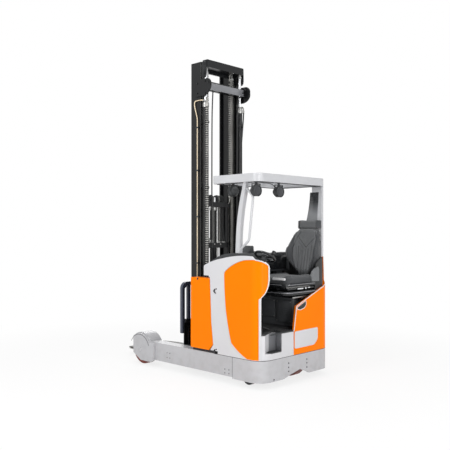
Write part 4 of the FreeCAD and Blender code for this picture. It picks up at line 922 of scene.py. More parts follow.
# %% [markdown]
# The shapes that get copied are built by nodes too, so that their sizes can
# come from the tree's inputs. Three helpers do most of it: one moves a shape,
# one joins several and one makes a round disc or a prism.

# %% Building blocks of a shape
def moved(graph, geometry, x=0.0, y=0.0, z=0.0, turn=(0, 0, 0)):
    offset = graph.node("ShaderNodeCombineXYZ", None, {"X": x, "Y": y, "Z": z}).wire("Vector")
    return graph.node("GeometryNodeTransform", None, {
        "Geometry": geometry, "Translation": offset, "Rotation": turn}).wire("Geometry")


def joined(graph, *pieces):
    made = graph.node("GeometryNodeJoinGeometry")
    for piece in pieces:
        graph.tree.links.new(piece.socket, made.node.inputs[0])
    return made.wire("Geometry")


def disc(graph, sides, radius, depth):
    return graph.node("GeometryNodeMeshCylinder", None, {
        "Vertices": sides, "Radius": radius, "Depth": depth}).wire("Mesh")


print("building blocks ready")

# %% [markdown]
# Screws come with a hexagon head on a washer where a wrench is used, and with
# a low round head where nothing may stand out. Leaf chain and the coil of a
# hose guard are copied by the pitch, one after the other along a line.

# %% Screws, chain links and rings
def screw_shape(graph, size):
    """A hexagon head on a washer, as big as its width across."""
    wide = size["across"]
    washer = moved(graph, disc(graph, 14, wide * 0.72, wide * 0.12), z=wide * 0.06)
    head = moved(graph, disc(graph, 6, wide * 0.55, wide * 0.42), z=wide * 0.33)
    crown = graph.node("GeometryNodeMeshCone", None, {
        "Vertices": 12, "Radius Top": wide * 0.34, "Radius Bottom": wide * 0.46,
        "Depth": wide * 0.06}).wire("Mesh")
    return joined(graph, washer, head, moved(graph, crown, z=wide * 0.54))


def socket_shape(graph, size):
    """A low round head with a thin hexagon in place of its socket, as big as its width across."""
    wide = size["across"]
    head = graph.node("GeometryNodeMeshCone", None, {
        "Vertices": 14, "Radius Top": wide * 0.36, "Radius Bottom": wide * 0.5,
        "Depth": wide * 0.3}).wire("Mesh")
    return joined(graph, moved(graph, head), moved(graph, disc(graph, 6, wide * 0.2, wide * 0.1),
                                                   z=wide * 0.26))


def link_shape(graph, size):
    """One pitch of leaf chain along z: pins across, and plates on both sides of them."""
    pitch, wide = size["pitch"], size["width"]
    pin = moved(graph, disc(graph, 8, pitch * 0.2, wide), turn=(math.pi / 2, 0, 0))
    plates = []
    for share, thick in ((-0.42, 0.1), (-0.2, 0.1), (0.02, 0.1), (0.24, 0.1), (0.44, 0.08)):
        plate = graph.node("GeometryNodeMeshCube", None, {"Size": graph.node("ShaderNodeCombineXYZ", None, {
            "X": pitch * (0.86 if thick > 0.09 else 0.7), "Y": wide * thick,
            "Z": pitch * 0.74}).wire("Vector")})
        plates.append(moved(graph, plate.wire("Mesh"), y=wide * share,
                            z=pitch * (0.5 if thick > 0.09 else 0.0)))
    return joined(graph, pin, *plates)


def ring_shape(graph, size):
    """One turn of a coiled hose guard along z."""
    body = disc(graph, 12, size["radius"], size["pitch"] * 0.34)
    lip = disc(graph, 12, size["radius"] * 1.05, size["pitch"] * 0.16)
    return joined(graph, body, lip)


print("screw, socket, link and ring ready")

# %% [markdown]
# ## Lift chains
# Leaf chain carries the upper stages. It is a stack of plates laced on pins,
# about 35 mm wide here. A run that passes over a pulley would change its length
# on each side as the mast rises. A picture of one moment needs only the run
# itself, so each chain rides the stage that carries its pulleys.

# %% Chains
def run_of(points, pitch):
    """Even steps along a line in the x-z plane, with upward directions."""
    places, facings, left = [], [], 0.0
    for a, b in zip(points, points[1:]):
        start, step = Vector(a), Vector(b) - Vector(a)
        far = left
        while far < step.length:
            places.append(start + step.normalized() * far)
            way = step.normalized()
            facings.append(way if way.z >= 0 else -way)
            far += pitch
        left = far - step.length
    return places, facings


main_pitch = 0.0254
for side, label in both_sides:
    y = 0.2125 * side
    places, facings = run_of([(-0.107, y, 0.42), (-0.107, y, 3.46)], main_pitch)
    copies(label + "_lift_chain", link_shape, places, facings, "chain_steel", "middle_stage",
           pitch=main_pitch, width=0.033)
    fittings = Stock()
    fittings.bar((-0.119, y - 0.019, 3.458), (-0.095, y + 0.019, 3.500), 0.003)
    fittings.rod((-0.107, y, 3.49), (-0.107, y, 3.545), 0.009, 12)
    fittings.turned((-0.107, y, 3.505), (0, 0, 1), [(0, 0.013), (0.010, 0.013)], 6)
    fittings.bar((-0.119, y - 0.018, 0.385), (-0.0935, y + 0.018, 0.424), 0.003)
    fittings.done(label + "_chain_anchor", "zinc", "middle_stage", sharp=30)

free_pitch = 0.01905
pulley_z, chain_y, chain_x = 1.997, 0.051, 0.0425
for side, label in both_sides:
    y = chain_y * side
    turn = [k * math.pi / 12 for k in range(13)]
    arc = [(-chain_x * math.cos(t), y, pulley_z + chain_x * math.sin(t)) for t in turn]
    places, facings = run_of([(-chain_x, y, 1.50)] + arc + [(chain_x, y, 0.580)], free_pitch)
    copies(label + "_free_chain", link_shape, places, facings, "chain_steel", "free_lift",
           pitch=free_pitch, width=0.020)
print("chains laid")

# %% [markdown]
# ## Pipes, hoses and the hose guard
# Oil reaches the left lift cylinder by a bent steel pipe clipped to the rail.
# Its paint is a pale tan against the black mast. The hoses for the carriage
# run down behind the stages, and two wear a coiled guard where they would rub.

# %% Mast plumbing
pipe("lift_pipe", [(-0.166, 0.318, 3.128), (-0.166, 0.337, 3.131), (-0.128, 0.3375, 3.134),
                   (-0.072, 0.3375, 3.134),
                   (-0.030, 0.3375, 3.130), (-0.024, 0.3375, 3.095), (-0.034, 0.3375, 3.050),
                   (-0.066, 0.3375, 2.955), (-0.074, 0.3375, 2.915), (-0.074, 0.3375, 2.85),
                   (-0.074, 0.3375, 1.20), (-0.074, 0.3375, 0.52), (-0.074, 0.3375, 0.46),
                   (-0.074, 0.316, 0.44)], 0.0060, "pipe_tan", "mast_carriage")
clips = Stock()
for z in (0.62, 1.24, 1.78, 2.32, 2.82):
    clips.bar((-0.090, 0.3235, z - 0.009), (-0.058, 0.3475, z + 0.009), 0.003)
    clips.bar((-0.058, 0.3235, z - 0.009), (-0.036, 0.3275, z + 0.009), 0.001)
clips.done("pipe_clips", "black_plastic", "mast_carriage")
print("steel pipe laid")

# %% [markdown]
# A hose climbs behind each rail from a zinc block on the mast carriage. It is
# fixed at both ends and nearly straight, so a few points are enough.

# %% Rear hoses and blocks
for side, label in both_sides:
    pipe(label + "_rear_hose", [(-0.190, 0.213 * side, 0.36), (-0.190, 0.213 * side, 1.6),
                                (-0.192, 0.215 * side, 2.9),
                                (-0.204, 0.216 * side, 3.16), (-0.212, 0.216 * side, 3.26)],
         0.0075, "hose_rubber", "mast_carriage")
blocks = Stock()
for side in (1, -1):
    low, high = sorted((0.196 * side, 0.300 * side))
    blocks.bar((-0.208, low, 0.325), (-0.172, high, 0.372), 0.004)
    blocks.bar((-0.172, low + 0.010, 0.335), (-0.140, high - 0.010, 0.362), 0.003)
blocks.done("hose_blocks", "zinc", "mast_carriage")
print("rear hoses laid")

# %% [markdown]
# Two hoses have a coiled guard, and a third hangs down the right side of the
# mast. A hose this thick can't turn tightly, so it runs straight into a
# crimped collar and a steel elbow makes the turn. The rings of the guards are
# far too many to place by hand, and the copying tree strings them along.

# %% Guarded and slack hoses
pipe("guarded_hose", [(-0.217, 0.3165, 0.43), (-0.217, 0.3165, 1.5), (-0.217, 0.3165, 3.085)],
     0.0130, "hose_rubber", "mast_carriage")
pipe("guarded_hose_foot", [(-0.180, 0.300, 0.350), (-0.205, 0.3165, 0.352), (-0.217, 0.3165, 0.40),
                           (-0.217, 0.3165, 0.45)], 0.0090, "chain_steel", "mast_carriage")
pipe("guarded_hose_top", [(-0.217, 0.3165, 3.07), (-0.217, 0.3165, 3.11), (-0.214, 0.314, 3.15),
                          (-0.190, 0.300, 3.165), (-0.176, 0.294, 3.140)],
     0.0090, "chain_steel", "mast_carriage")
ring_pitch = 0.0254
coil = [(-0.217, 0.3165, 1.15 + k * ring_pitch) for k in range(int(1.94 / ring_pitch))]
copies("hose_guard", ring_shape, coil, [(0, 0, 1)] * len(coil), "chain_steel", "mast_carriage",
       radius=0.0200, pitch=ring_pitch)
pipe("stage_hose", [(-0.114, -0.164, 2.02), (-0.114, -0.164, 2.6), (-0.114, -0.164, 3.46)],
     0.0080, "hose_rubber", "middle_stage")
pipe("stage_hose_foot", [(-0.090, -0.164, 1.945), (-0.112, -0.164, 1.955), (-0.114, -0.164, 2.00),
                         (-0.114, -0.164, 2.04)], 0.0062, "chain_steel", "middle_stage")
pipe("stage_hose_top", [(-0.114, -0.164, 3.44), (-0.114, -0.164, 3.48), (-0.120, -0.164, 3.52),
                        (-0.150, -0.164, 3.535)], 0.0062, "chain_steel", "middle_stage")
coil = [(-0.114, -0.164, 2.03 + k * ring_pitch) for k in range(int(1.40 / ring_pitch))]
copies("stage_hose_guard", ring_shape, coil, [(0, 0, 1)] * len(coil), "chain_steel", "middle_stage",
       radius=0.0140, pitch=ring_pitch)
pipe("right_slack_hose", [(-0.1896, -0.3356, 3.08), (-0.188, -0.334, 3.0), (-0.176, -0.331, 2.86),
                          (-0.150, -0.331, 2.6), (-0.128, -0.331, 2.2), (-0.112, -0.331, 1.9),
                          (-0.100, -0.331, 1.4), (-0.100, -0.331, 0.50)],
     0.0085, "hose_rubber", "mast_carriage")
pipe("right_slack_top", [(-0.166, -0.322, 3.135), (-0.180, -0.334, 3.140), (-0.190, -0.336, 3.10),
                         (-0.1894, -0.3354, 3.07)], 0.0068, "chain_steel", "mast_carriage")
pipe("right_slack_foot", [(-0.100, -0.331, 0.52), (-0.100, -0.331, 0.46), (-0.100, -0.316, 0.44)],
     0.0068, "chain_steel", "mast_carriage")
print("hoses laid")

# %% [markdown]
# A collar is crimped on wherever a hose meets its elbow. It is a short turned
# sleeve, a little thicker than the hose, with both ends eased.

# %% Hose collars
collars = Stock()
for at, thick in (((-0.217, 0.3165, 0.425), 0.0150), ((-0.217, 0.3165, 3.060), 0.0150),
                  ((-0.1895, -0.3355, 3.062), 0.0102), ((-0.100, -0.331, 0.495), 0.0102)):
    collars.turned(at, (0, 0, 1), [(0, thick - 0.002), (0.002, thick), (0.028, thick),
                                   (0.030, thick - 0.002)], 16)
collars.done("hose_collars", "chain_steel", "mast_carriage")
stage_collars = Stock()
for z in (2.015, 3.435):
    stage_collars.turned((-0.114, -0.164, z), (0, 0, 1), [(0, 0.0080), (0.002, 0.0096), (0.028, 0.0096),
                                                          (0.030, 0.0080)], 16)
stage_collars.done("stage_hose_collars", "chain_steel", "middle_stage")
print("hose collars on")

# %% [markdown]
# ## Cylinder heads, clamps and the yoke
# Each lift cylinder ends in a gland nut with a wiper that keeps dirt off the
# rod, and a port block for its pipe. Clamps hold the barrel to the rail. The
# yoke that steadies the cylinders is bolted through its side plates.

# %% Cylinder fittings
for side, label in both_sides:
    x, y = -0.166, 0.288 * side
    head = Stock()
    head.turned((x, y, 3.052), (0, 0, 1), [(0, 0.0335), (0.002, 0.0375), (0.046, 0.0375), (0.050, 0.0340),
                                            (0.0575, 0.0340), (0.0605, 0.0310), (0.066, 0.026),
                                            (0.069, 0.0215)], 28)
    head.turned((x, y, 3.121), (0, 0, 1), [(0, 0.0245), (0.008, 0.0235), (0.012, 0.0208)], 24)
    head.rod((x, y + 0.022 * side, 3.128), (x, y + 0.047 * side, 3.128), 0.011, 6, 0.001)
    head.rod((x, y - 0.022 * side, 3.140), (x, y - 0.042 * side, 3.140), 0.010, 6, 0.001)
    head.done(label + "_cylinder_head", "zinc", "mast_carriage", sharp=30)
    clamps = Stock()
    for z in (1.18, 2.10, 2.86):
        clamps.turned((x, y, z), (0, 0, 1), [(0, 0.0335), (0.002, 0.0375), (0.034, 0.0375),
                                             (0.036, 0.0335)], 24)
        clamps.bar((-0.134, y - 0.014, z + 0.004), (-0.116, y + 0.014, z + 0.032), 0.002)
        clamps.bar((x - 0.050, y - 0.009, z + 0.006), (x - 0.034, y + 0.009, z + 0.030), 0.002)
    clamps.done(label + "_cylinder_clamps", "black_paint", "mast_carriage")
    ends = Stock()
    ends.turned((x, y, 3.478), (0, 0, 1), [(0, 0.0205), (0.003, 0.027), (0.022, 0.027), (0.025, 0.023),
                                            (0.037, 0.023)], 24)
    ends.turned((x, y, 3.600), (0, 0, -1), [(0.0, 0.015), (0.004, 0.017), (0.012, 0.017)], 20)
    ends.done(label + "_rod_end", "zinc", "middle_stage", sharp=30)

print("cylinders fitted")

# %% [markdown]
# The yoke is a pale cross bar between two round-nosed side plates. The plates
# are bolted to the rails, and a bolt is the kind of thing that is made once
# and copied to a list of points.

# %% Yoke
yoke_screws, yoke_ways = [], []
for side in (1, -1):
    for x, z in ((-0.262, 3.225), (-0.262, 3.325), (-0.205, 3.345), (-0.205, 3.205), (-0.075, 3.335),
                 (-0.075, 3.220)):
        yoke_screws.append((x, 0.339 * side, z))
        yoke_ways.append((0, side, 0))
    for y, z in ((0.300, 3.272), (0.300, 3.314), (0.272, 3.293)):
        yoke_screws.append((-0.230, y * side, z))
        yoke_ways.append((-1, 0, 0))
copies("yoke_screws", screw_shape, yoke_screws, yoke_ways, "black_paint", "mast_carriage", 1.0, 5,
       across=0.015)
rims = Stock()
for side in (1, -1):
    turn = [math.radians(100 + 8 * k) for k in range(21)]
    outer = [(-0.178 + 0.118 * math.cos(t), 3.2775 + 0.094 * math.sin(t)) for t in turn]
    inner = [(-0.178 + 0.108 * math.cos(t), 3.2775 + 0.084 * math.sin(t)) for t in reversed(turn)]
    rims.plate([(z, x) for x, z in outer + inner], 1, 0.3385 * side, 0.3425 * side, 0.001)
rims.done("yoke_rims", "black_paint", "mast_carriage")
face = Stock().bar((-0.2325, -0.286, 3.254), (-0.2298, 0.286, 3.331), 0.001)
face.bar((-0.2350, -0.300, 3.250), (-0.2298, 0.300, 3.2545), 0.001)
face.done("yoke_face", "satin_grey", "mast_carriage")
print("yoke bolted,", len(yoke_screws), "screws")

# %% [markdown]
# The head bar closes the middle stage at the top and carries the ends of the
# two rods. Bright strips run along the tips of the rails: partly wear where the
# rollers run, and partly a painted highlight along the rail edges. They could be
# painted on, but a thin strip of metal keeps its place when the stages slide
# apart.

# %% Head bar and wear strips
head_details = Stock()
head_details.bar((-0.212, -0.306, 3.590), (-0.135, 0.306, 3.6015), 0.002)
for side in (1, -1):
    head_details.plate([(3.595, -0.150), (3.595, -0.100), (3.515, -0.150)][::side], 1,
                       0.262 * side, 0.272 * side, 0.001)
    head_details.turned((-0.1735, 0.305 * side, 3.560), (0, side, 0),
                        [(0, 0.026), (0.010, 0.026), (0.016, 0.018)], 20)
head_details.done("head_bar_trim", "black_paint", "middle_stage")
guards = Stock()
for side in (1, -1):
    guards.plate([(3.400, -0.190), (3.392, -0.160), (3.410, -0.130), (3.450, -0.119), (3.585, -0.119),
                  (3.585, -0.206),
                  (3.450, -0.208), (3.415, -0.203)], 1, 0.3115 * side, 0.3175 * side, 0.001)
    guards.turned((-0.163, 0.3175 * side, 3.452), (0, side, 0),
                  [(0, 0.022), (0.004, 0.022), (0.006, 0.012)], 20)
guards.done("rod_guards", "black_paint", "middle_stage")
stages = (("outer", "mast_carriage", 0.286, 0.322, -0.1163, 3.58, 0.16),
          ("middle", "middle_stage", 0.240, 0.276, -0.0943, 3.59, 0.30),
          ("inner", "inner_stage", 0.194, 0.230, -0.0723, 3.58, 0.36))
for label, body, tip, web, x, top, foot in stages:
    # Pale strips on the rail tips: partly roller wear, partly a painted highlight.
    strips = Stock()
    for side in (1, -1):
        for y in (tip + 0.0015, web - 0.0015):
            strips.bar((x - 0.0006, side * y - 0.0013, foot), (x + 0.0004, side * y + 0.0013, top), 0)
    strips.done(label + "_rail_edges", "chain_steel", body)

# %% [markdown]
# The free-lift cylinder stands between the inner rails and lifts the carriage
# by two chains over its head. The pulleys stay narrower than the space behind
# the carriage's cross plate, which passes in front of them at full lift. The
# rear ends of the chains are anchored to the inner stage.

# %% Free-lift head and hoses
gland = Stock()
gland.turned((0, 0, 1.862), (0, 0, 1), [(0, 0.0455), (0.002, 0.0495), (0.034, 0.0495), (0.038, 0.044),
                                         (0.044, 0.034), (0.050, 0.0285)], 28)
gland.rod((-0.040, 0, 1.876), (-0.062, 0, 1.876), 0.010, 6)
gland.turned((0, 0, 0.20), (0, 0, 1), [(0, 0.0455), (0.002, 0.052), (0.028, 0.052), (0.030, 0.0455)], 28)
gland.done("free_lift_gland", "zinc", "inner_stage", sharp=30)
pipe("free_lift_pipe", [(-0.040, 0.0, 1.870), (-0.056, 0.0, 1.868), (-0.0560, 0.0, 1.83),
                        (-0.0560, 0.0, 1.52),
                        (-0.0560, 0.0, 0.30), (-0.052, 0.0, 0.25), (-0.040, 0.0, 0.24)],
     0.0065, "zinc", "inner_stage")
rod = Stock()
rod.turned((0, 0, 0.180), (0, 0, 1), [(0, 0.026), (0.002, 0.028), (1.768, 0.028), (1.770, 0.026)], 32)
rod.plate([(1.952, -0.026), (1.952, 0.026), (2.020, 0.026), (2.030, 0.016), (2.030, -0.016),
           (2.020, -0.026)], 1,
          -0.034, 0.034, 0.003)
free_rod = rod.done("free_lift_head", "chrome_rod", "free_lift", sharp=30)
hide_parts("free_lift_rod")
sheaves = Stock()
for side in (1, -1):
    sheaves.turned((0, 0.037 * side, pulley_z), (0, side, 0), [
        (0, 0.018), (0, 0.0505), (0.003, 0.0505), (0.0035, 0.0360), (0.0245, 0.0360), (0.025, 0.0505),
        (0.028, 0.0505),
        (0.028, 0.024), (0.034, 0.020)], 32)
    sheaves.turned((0, side * 0.070, pulley_z), (0, side, 0), [(0, 0.013), (0.008, 0.013)], 6)
sheaves.done("chain_sheaves", "wheel_iron", "free_lift", sharp=30)
anchors = Stock()
for side in (1, -1):
    y = chain_y * side
    anchors.rod((-chain_x, y, 1.430), (-chain_x, y, 1.502), 0.0065, 12)
    anchors.turned((-chain_x, y, 1.4715), (0, 0, 1), [(0, 0.011), (0.009, 0.011)], 6)
    anchors.turned((-chain_x, y, 1.4825), (0, 0, 1), [(0, 0.010), (0.006, 0.010)], 6)
    anchors.bar((-0.0725, y - 0.011, 1.446), (-0.033, y + 0.011, 1.462), 0.002)
anchors.bar((-0.0725, 0.075, 1.470), (-0.052, 0.125, 1.505), 0.004)
anchors.bar((-0.0725, 0.130, 1.470), (-0.055, 0.152, 1.530), 0.004)
anchors.bar((-0.0725, -0.135, 1.468), (-0.034, -0.075, 1.486), 0.003)
anchors.done("chain_anchor_bolts", "zinc", "inner_stage", sharp=30)
print("free lift head fitted")

# %% [markdown]
# Three hoses feed the fork carriage. They leave a bracket, go over a drum and
# down to a block of ports. Their turn is as tight as such a hose may bend. Two
# hooks on the carriage hold the lower ends of the chains, and three pale lines,
# painted highlights, run down the left face of the outer rail.

# %% Carriage hoses, drum and chain hooks
drum_z = 1.996
hose_out = 0.0440  # radius of the hose's turn: about four hose diameters
control_out = 0.04555  # its control points lie outside it, where the tangents meet
for k, y in enumerate((-0.085, -0.105, -0.125)):
    turns = [math.radians(15 + 30 * n) for n in range(6)]
    over = [(-control_out * math.cos(a), y, drum_z + control_out * math.sin(a)) for a in turns]
    up = [(-hose_out, y, z) for z in (1.480, 1.62, 1.90, 1.984)]
    down = [(hose_out, y, z) for z in (1.984, 1.90, 1.2, 0.40, 0.27)]
    pipe("carriage_hose_%d" % (k + 1), up + over + down, 0.0052, "hose_rubber", "inner_stage")
manifold = Stock().bar((0.030, -0.140, 0.232), (0.0505, -0.070, 0.275), 0.004)
manifold.bar((0.010, -0.110, 0.200), (0.045, -0.047, 0.240), 0.004)
manifold.done("hose_manifold", "zinc", "inner_stage")
hooks = Stock()
for side in (1, -1):
    y = chain_y * side
    hooks.bar((0.0355, y - 0.012, 0.556), (0.0600, y + 0.012, 0.580), 0.003)
    hooks.bar((0.0580, y - 0.016, 0.556), (0.0750, y + 0.016, 0.622), 0.003)
hooks.done("chain_hooks", "zinc", "carriage")
drum = Stock()
drum.turned((0.0, -0.072, drum_z), (0, -1, 0), [(0, 0.016), (0, 0.0505), (0.004, 0.0505), (0.005, 0.0375),
                                                (0.061, 0.0375),
                                               (0.062, 0.0505), (0.066, 0.0505), (0.066, 0.016)], 32)
drum.plate([(1.470, -0.0725), (1.470, -0.0550), (1.940, -0.0550), (2.004, -0.014), (2.010, 0.000),
            (2.004, 0.012),
            (1.985, 0.012), (1.920, -0.0725)], 1, -0.1440, -0.1385, 0.001)
drum.rod((0, -0.070, drum_z), (0, -0.146, drum_z), 0.010, 12, 0.001)
drum.done("hose_drum", "black_plastic", "inner_stage")
# Painted highlights: three pale lines on the outer rail's left face.
lines = Stock()
for x in (0.014, -0.031, -0.048):
    lines.bar((x - 0.0016, 0.3218, 0.12), (x + 0.0016, 0.3227, 3.57), 0)
lines.done("rail_edge_lines", "satin_grey", "mast_carriage")
print("free lift dressed")

# %% [markdown]
# ## The operator's place
# Under the cushion sits a sprung base, whose bellows hide what is inside. A
# pleat is a ring of points and the next ring drawn in, so a stack of oblong
# rings joined by faces gives the whole thing in one go.

# %% Seat bellows
bellows = bmesh.new()
pleats = 5
centre, spread = Vector((-1.045, -0.16, 0.0)), (0.170, 0.185)
rings = []
for k in range(2 * pleats + 1):
    z = 0.8865 + k * (0.983 - 0.8865) / (2 * pleats)
    draw_in = 0.0 if k % 2 else 0.020
    ring = []
    for j in range(40):
        t = 2 * math.pi * j / 40
        c, s = math.cos(t), math.sin(t)
        ring.append(bellows.verts.new((
            centre.x + math.copysign(abs(c) ** 0.35, c) * (spread[0] - draw_in),
            centre.y + math.copysign(abs(s) ** 0.35, s) * (spread[1] - draw_in), z)))
    rings.append(ring)
for low, high in zip(rings, rings[1:]):
    for j in range(40):
        bellows.faces.new((low[j], low[(j + 1) % 40], high[(j + 1) % 40], high[j]))
bellows.faces.new(rings[0])
bellows.faces.new(rings[-1])
bmesh.ops.recalc_face_normals(bellows, faces=bellows.faces)
data = bpy.data.meshes.new("seat_bellows")
bellows.to_mesh(data)
bellows.free()
hang("seat_bellows", data, "hose_rubber", "chassis", None, 25)

print("bellows", 2 * pleats + 1, "rings")

# %% [markdown]
# The seat stands on slides, and a thin rod across their front ends is the
# handle that frees them. A lever and two round knobs sit near it, with a pale
# pull above, and a few bright fittings on the rear side.

# %% Slides and levers
slides = Stock()
for x in (-1.215, -0.895):
    slides.bar((x - 0.014, -0.330, 0.9995), (x + 0.014, 0.120, 1.012), 0.002)
    slides.bar((x - 0.020, -0.300, 0.886), (x + 0.020, 0.020, 0.902), 0.003)
slides.rod((-1.205, 0.118, 1.006), (-0.905, 0.118, 1.006), 0.006, 12)
slides.done("seat_slides", "zinc", "chassis")
levers = Stock()
levers.bar((-0.905, -0.02, 0.940), (-0.850, 0.105, 0.956), 0.005)
levers.turned((-0.872, 0.110, 0.948), (0, 1, 0), [(0, 0.010), (0.004, 0.013), (0.024, 0.013),
                                                  (0.028, 0.009)], 18)
levers.turned((-1.120, 0.128, 0.992), (0, 1, 0), [(0, 0.014), (0.003, 0.017), (0.022, 0.017),
                                                  (0.025, 0.012)], 18)
levers.done("seat_levers", "gloss_plastic", "chassis")
pull = Stock().bar((-1.245, 0.152, 1.089), (-1.075, 0.174, 1.114), 0.006)
pull.done("seat_pull", "pale_plastic", "chassis")
side_parts = Stock()
side_parts.bar((-1.272, -0.120, 0.984), (-1.262, -0.020, 0.998), 0.003)
side_parts.bar((-1.272, -0.245, 0.990), (-1.262, -0.205, 1.000), 0.003)
side_parts.rod((-1.262, -0.160, 0.992), (-1.276, -0.160, 0.992), 0.011, 14, 0.002)
side_parts.done("seat_side_parts", "chrome_rod", "chassis")
print("seat slides and levers on")

# %% [markdown]
# Two dark moulded rails wrap the seat's front and sides, each with a paler
# line along it, which is a painted highlight. A short table of points gives
# one round corner. It is mirrored for the other, and the outline is cut as a
# plate at any height. A moulded cover hides the hinge of the backrest.

# %% Seat rails and hinge cover
def seat_rail(stock, low, high, grow, edge):
    """A moulded rail round three sides of the seat, with broad round corners."""
    middle, half = -1.050, 0.208 + grow
    nose = [(0.0, 0.150), (0.045, 0.146), (0.085, 0.130), (0.115, 0.103), (0.130, 0.060)]
    left = [(middle - half + 0.130 - x, y + grow) for x, y in nose]
    right = [(2 * middle - x, y) for x, y in reversed(left)]
    stock.plate(left + [(middle - half, -0.335), (middle + half, -0.335)] + right, 2, low, high, edge)


rails = Stock()
seat_rail(rails, 1.014, 1.050, 0.012, 0.011)
seat_rail(rails, 0.922, 0.968, 0.016, 0.014)
rails.done("seat_rails", "gloss_plastic", "chassis")
# The paler lines are painted highlights along the rails.
lines = Stock()
seat_rail(lines, 1.034, 1.041, 0.0130, 0.001)
seat_rail(lines, 0.948, 0.956, 0.0170, 0.001)
lines.done("seat_rail_lines", "satin_grey", "chassis")
covers = Stock()
hinge_side = [(-0.285, 1.052), (-0.270, 1.120), (-0.300, 1.165), (-0.345, 1.195), (-0.395, 1.220),
              (-0.412, 1.190), (-0.412, 1.052)]
covers.plate(hinge_side, 0, -1.274, -1.240, 0.010)
covers.done("seat_hinge_cover", "seat_cover_grey", "chassis")
print("seat rails on")

# %% [markdown]
# Under the cushion is a pressed pan with a turned-up edge, and behind the
# backrest a shell that holds its foam. Both are plates with a drawn outline.

# %% Seat pan and back shell
pan = Stock()
edge = [(-0.332, 1.012), (0.146, 1.012), (0.156, 1.022), (0.156, 1.048), (0.140, 1.052), (-0.320, 1.052),
        (-0.338, 1.040)]
pan.plate(edge, 0, -1.250, -0.850, 0.006)
pan.bar((-1.240, -0.455, 0.984), (-0.860, -0.330, 1.004), 0.004)
pan.plate([(-0.520, 1.12), (-0.480, 1.10), (-0.462, 1.14), (-0.476, 1.46), (-0.520, 1.50)], 0, -1.215,
          -0.885, 0.006)
pan.done("seat_pan", "black_plastic", "chassis")
print("seat base dressed")

# %% [markdown]
# The front end of the armrest carries the hydraulic levers under the right
# hand, and its top is a soft moulded rest. A lever is a thin stem with a
# shaped knob, turned on a lathe in effect, then tipped a little.

# %% Armrest, levers and palm rest
rest = Stock()
rest.plate([(-0.470, 1.340), (-0.180, 1.334), (-0.165, 1.342), (-0.168, 1.354), (-0.200, 1.361),
            (-0.455, 1.366),
            (-0.472, 1.358)], 0, -0.761, -0.677, 0.008)
rest.plate([(-0.150, 1.331), (0.060, 1.2725), (0.066, 1.282), (0.052, 1.290), (-0.140, 1.342)], 0, -0.758,
           -0.680, 0.003)
rest.plate([(-0.495, 1.160), (-0.450, 1.160), (-0.445, 1.290), (-0.455, 1.312), (-0.490, 1.312)], 0, -0.812,
           -0.7640, 0.004)
rest.done("armrest_top", "black_plastic", "chassis")
keys = Stock()
for k, y in enumerate((-0.105, -0.065, -0.025)):
    z = 1.3420 - (y + 0.140) * 0.271
    for x in (-0.742, -0.718, -0.694):
        keys.bar((x - 0.007, y - 0.009, z - 0.001), (x + 0.007, y + 0.009, z + 0.004), 0.0015)
keys.done("armrest_keys", "grey_plastic", "chassis")
sticks = Stock()
for k, x in enumerate((-0.742, -0.722, -0.702, -0.684)):
    foot = (x, 0.020, 1.292)
    sticks.turned(foot, (0, -0.12, 1), [(0, 0.010), (0.006, 0.008), (0.012, 0.0045), (0.030, 0.0040),
                                        (0.034, 0.008),
                                         (0.046, 0.0098), (0.060, 0.0092), (0.068, 0.0050), (0.070, 0.0)],
                                         16)
sticks.done("hydraulic_levers", "gloss_plastic", "chassis")
console_side = Stock()
console_side.plate([(-0.470, 1.170), (0.045, 1.170), (0.070, 1.192), (0.070, 1.250), (-0.180, 1.325),
                    (-0.470, 1.332)], 0,
                   -0.767, -0.763, 0.0015)
console_side.plate([(-0.430, 1.195), (-0.02, 1.195), (-0.02, 1.240), (-0.18, 1.295), (-0.430, 1.300)], 0,
                   -0.7695,
                   -0.7665, 0.0015)
console_side.done("armrest_side", "gloss_plastic", "chassis")
print("armrest dressed")

# %% [markdown]
# ## Dash, wheel and pedals
# The small hand wheel has a spinner knob, since it is turned with one hand. A
# rubber boot of turned pleats covers the joint below it.

# %% Steering wheel cap and column boot
turn_axis = Vector((0, -0.5, 0.8660254))
hub = Vector((-1.169, 0.400, 1.350))
cap = Stock()
cap.turned(hub + turn_axis * 0.004, turn_axis, [(0, 0.040), (0.004, 0.042), (0.012, 0.038), (0.018, 0.024),
                                                 (0.0195, 0.010), (0.0195, 0.0)], 32)
cap.done("wheel_cap", "grey_plastic", "hand_wheel")
knob = Stock().turned(hub + Vector((-0.098, 0, 0)) + turn_axis * 0.0605, turn_axis,
                      [(0, 0.0160), (0.002, 0.0160), (0.0045, 0.0120), (0.0055, 0.0)], 24)
knob.done("spinner_cap", "zinc", "hand_wheel")
boot = Stock()
boot.turned(hub - turn_axis * 0.118, turn_axis, [(0, 0.050), (0.006, 0.055), (0.020, 0.046), (0.026, 0.050),
                                                 (0.040, 0.042),
                                                  (0.046, 0.046), (0.060, 0.038), (0.066, 0.041),
                                                  (0.078, 0.034)], 32)
boot.done("column_boot", "hose_rubber", "chassis")

# %% [markdown]
# The display is a thin case with dark glass in it. Three rocker switches and
# two round knobs sit on the hood, and a shallow tray with two raised edges lies
# on the operator's side of the display. Nothing is written on them. A bevelled
# plate does for the case, and a second one, a little proud, for the glass.

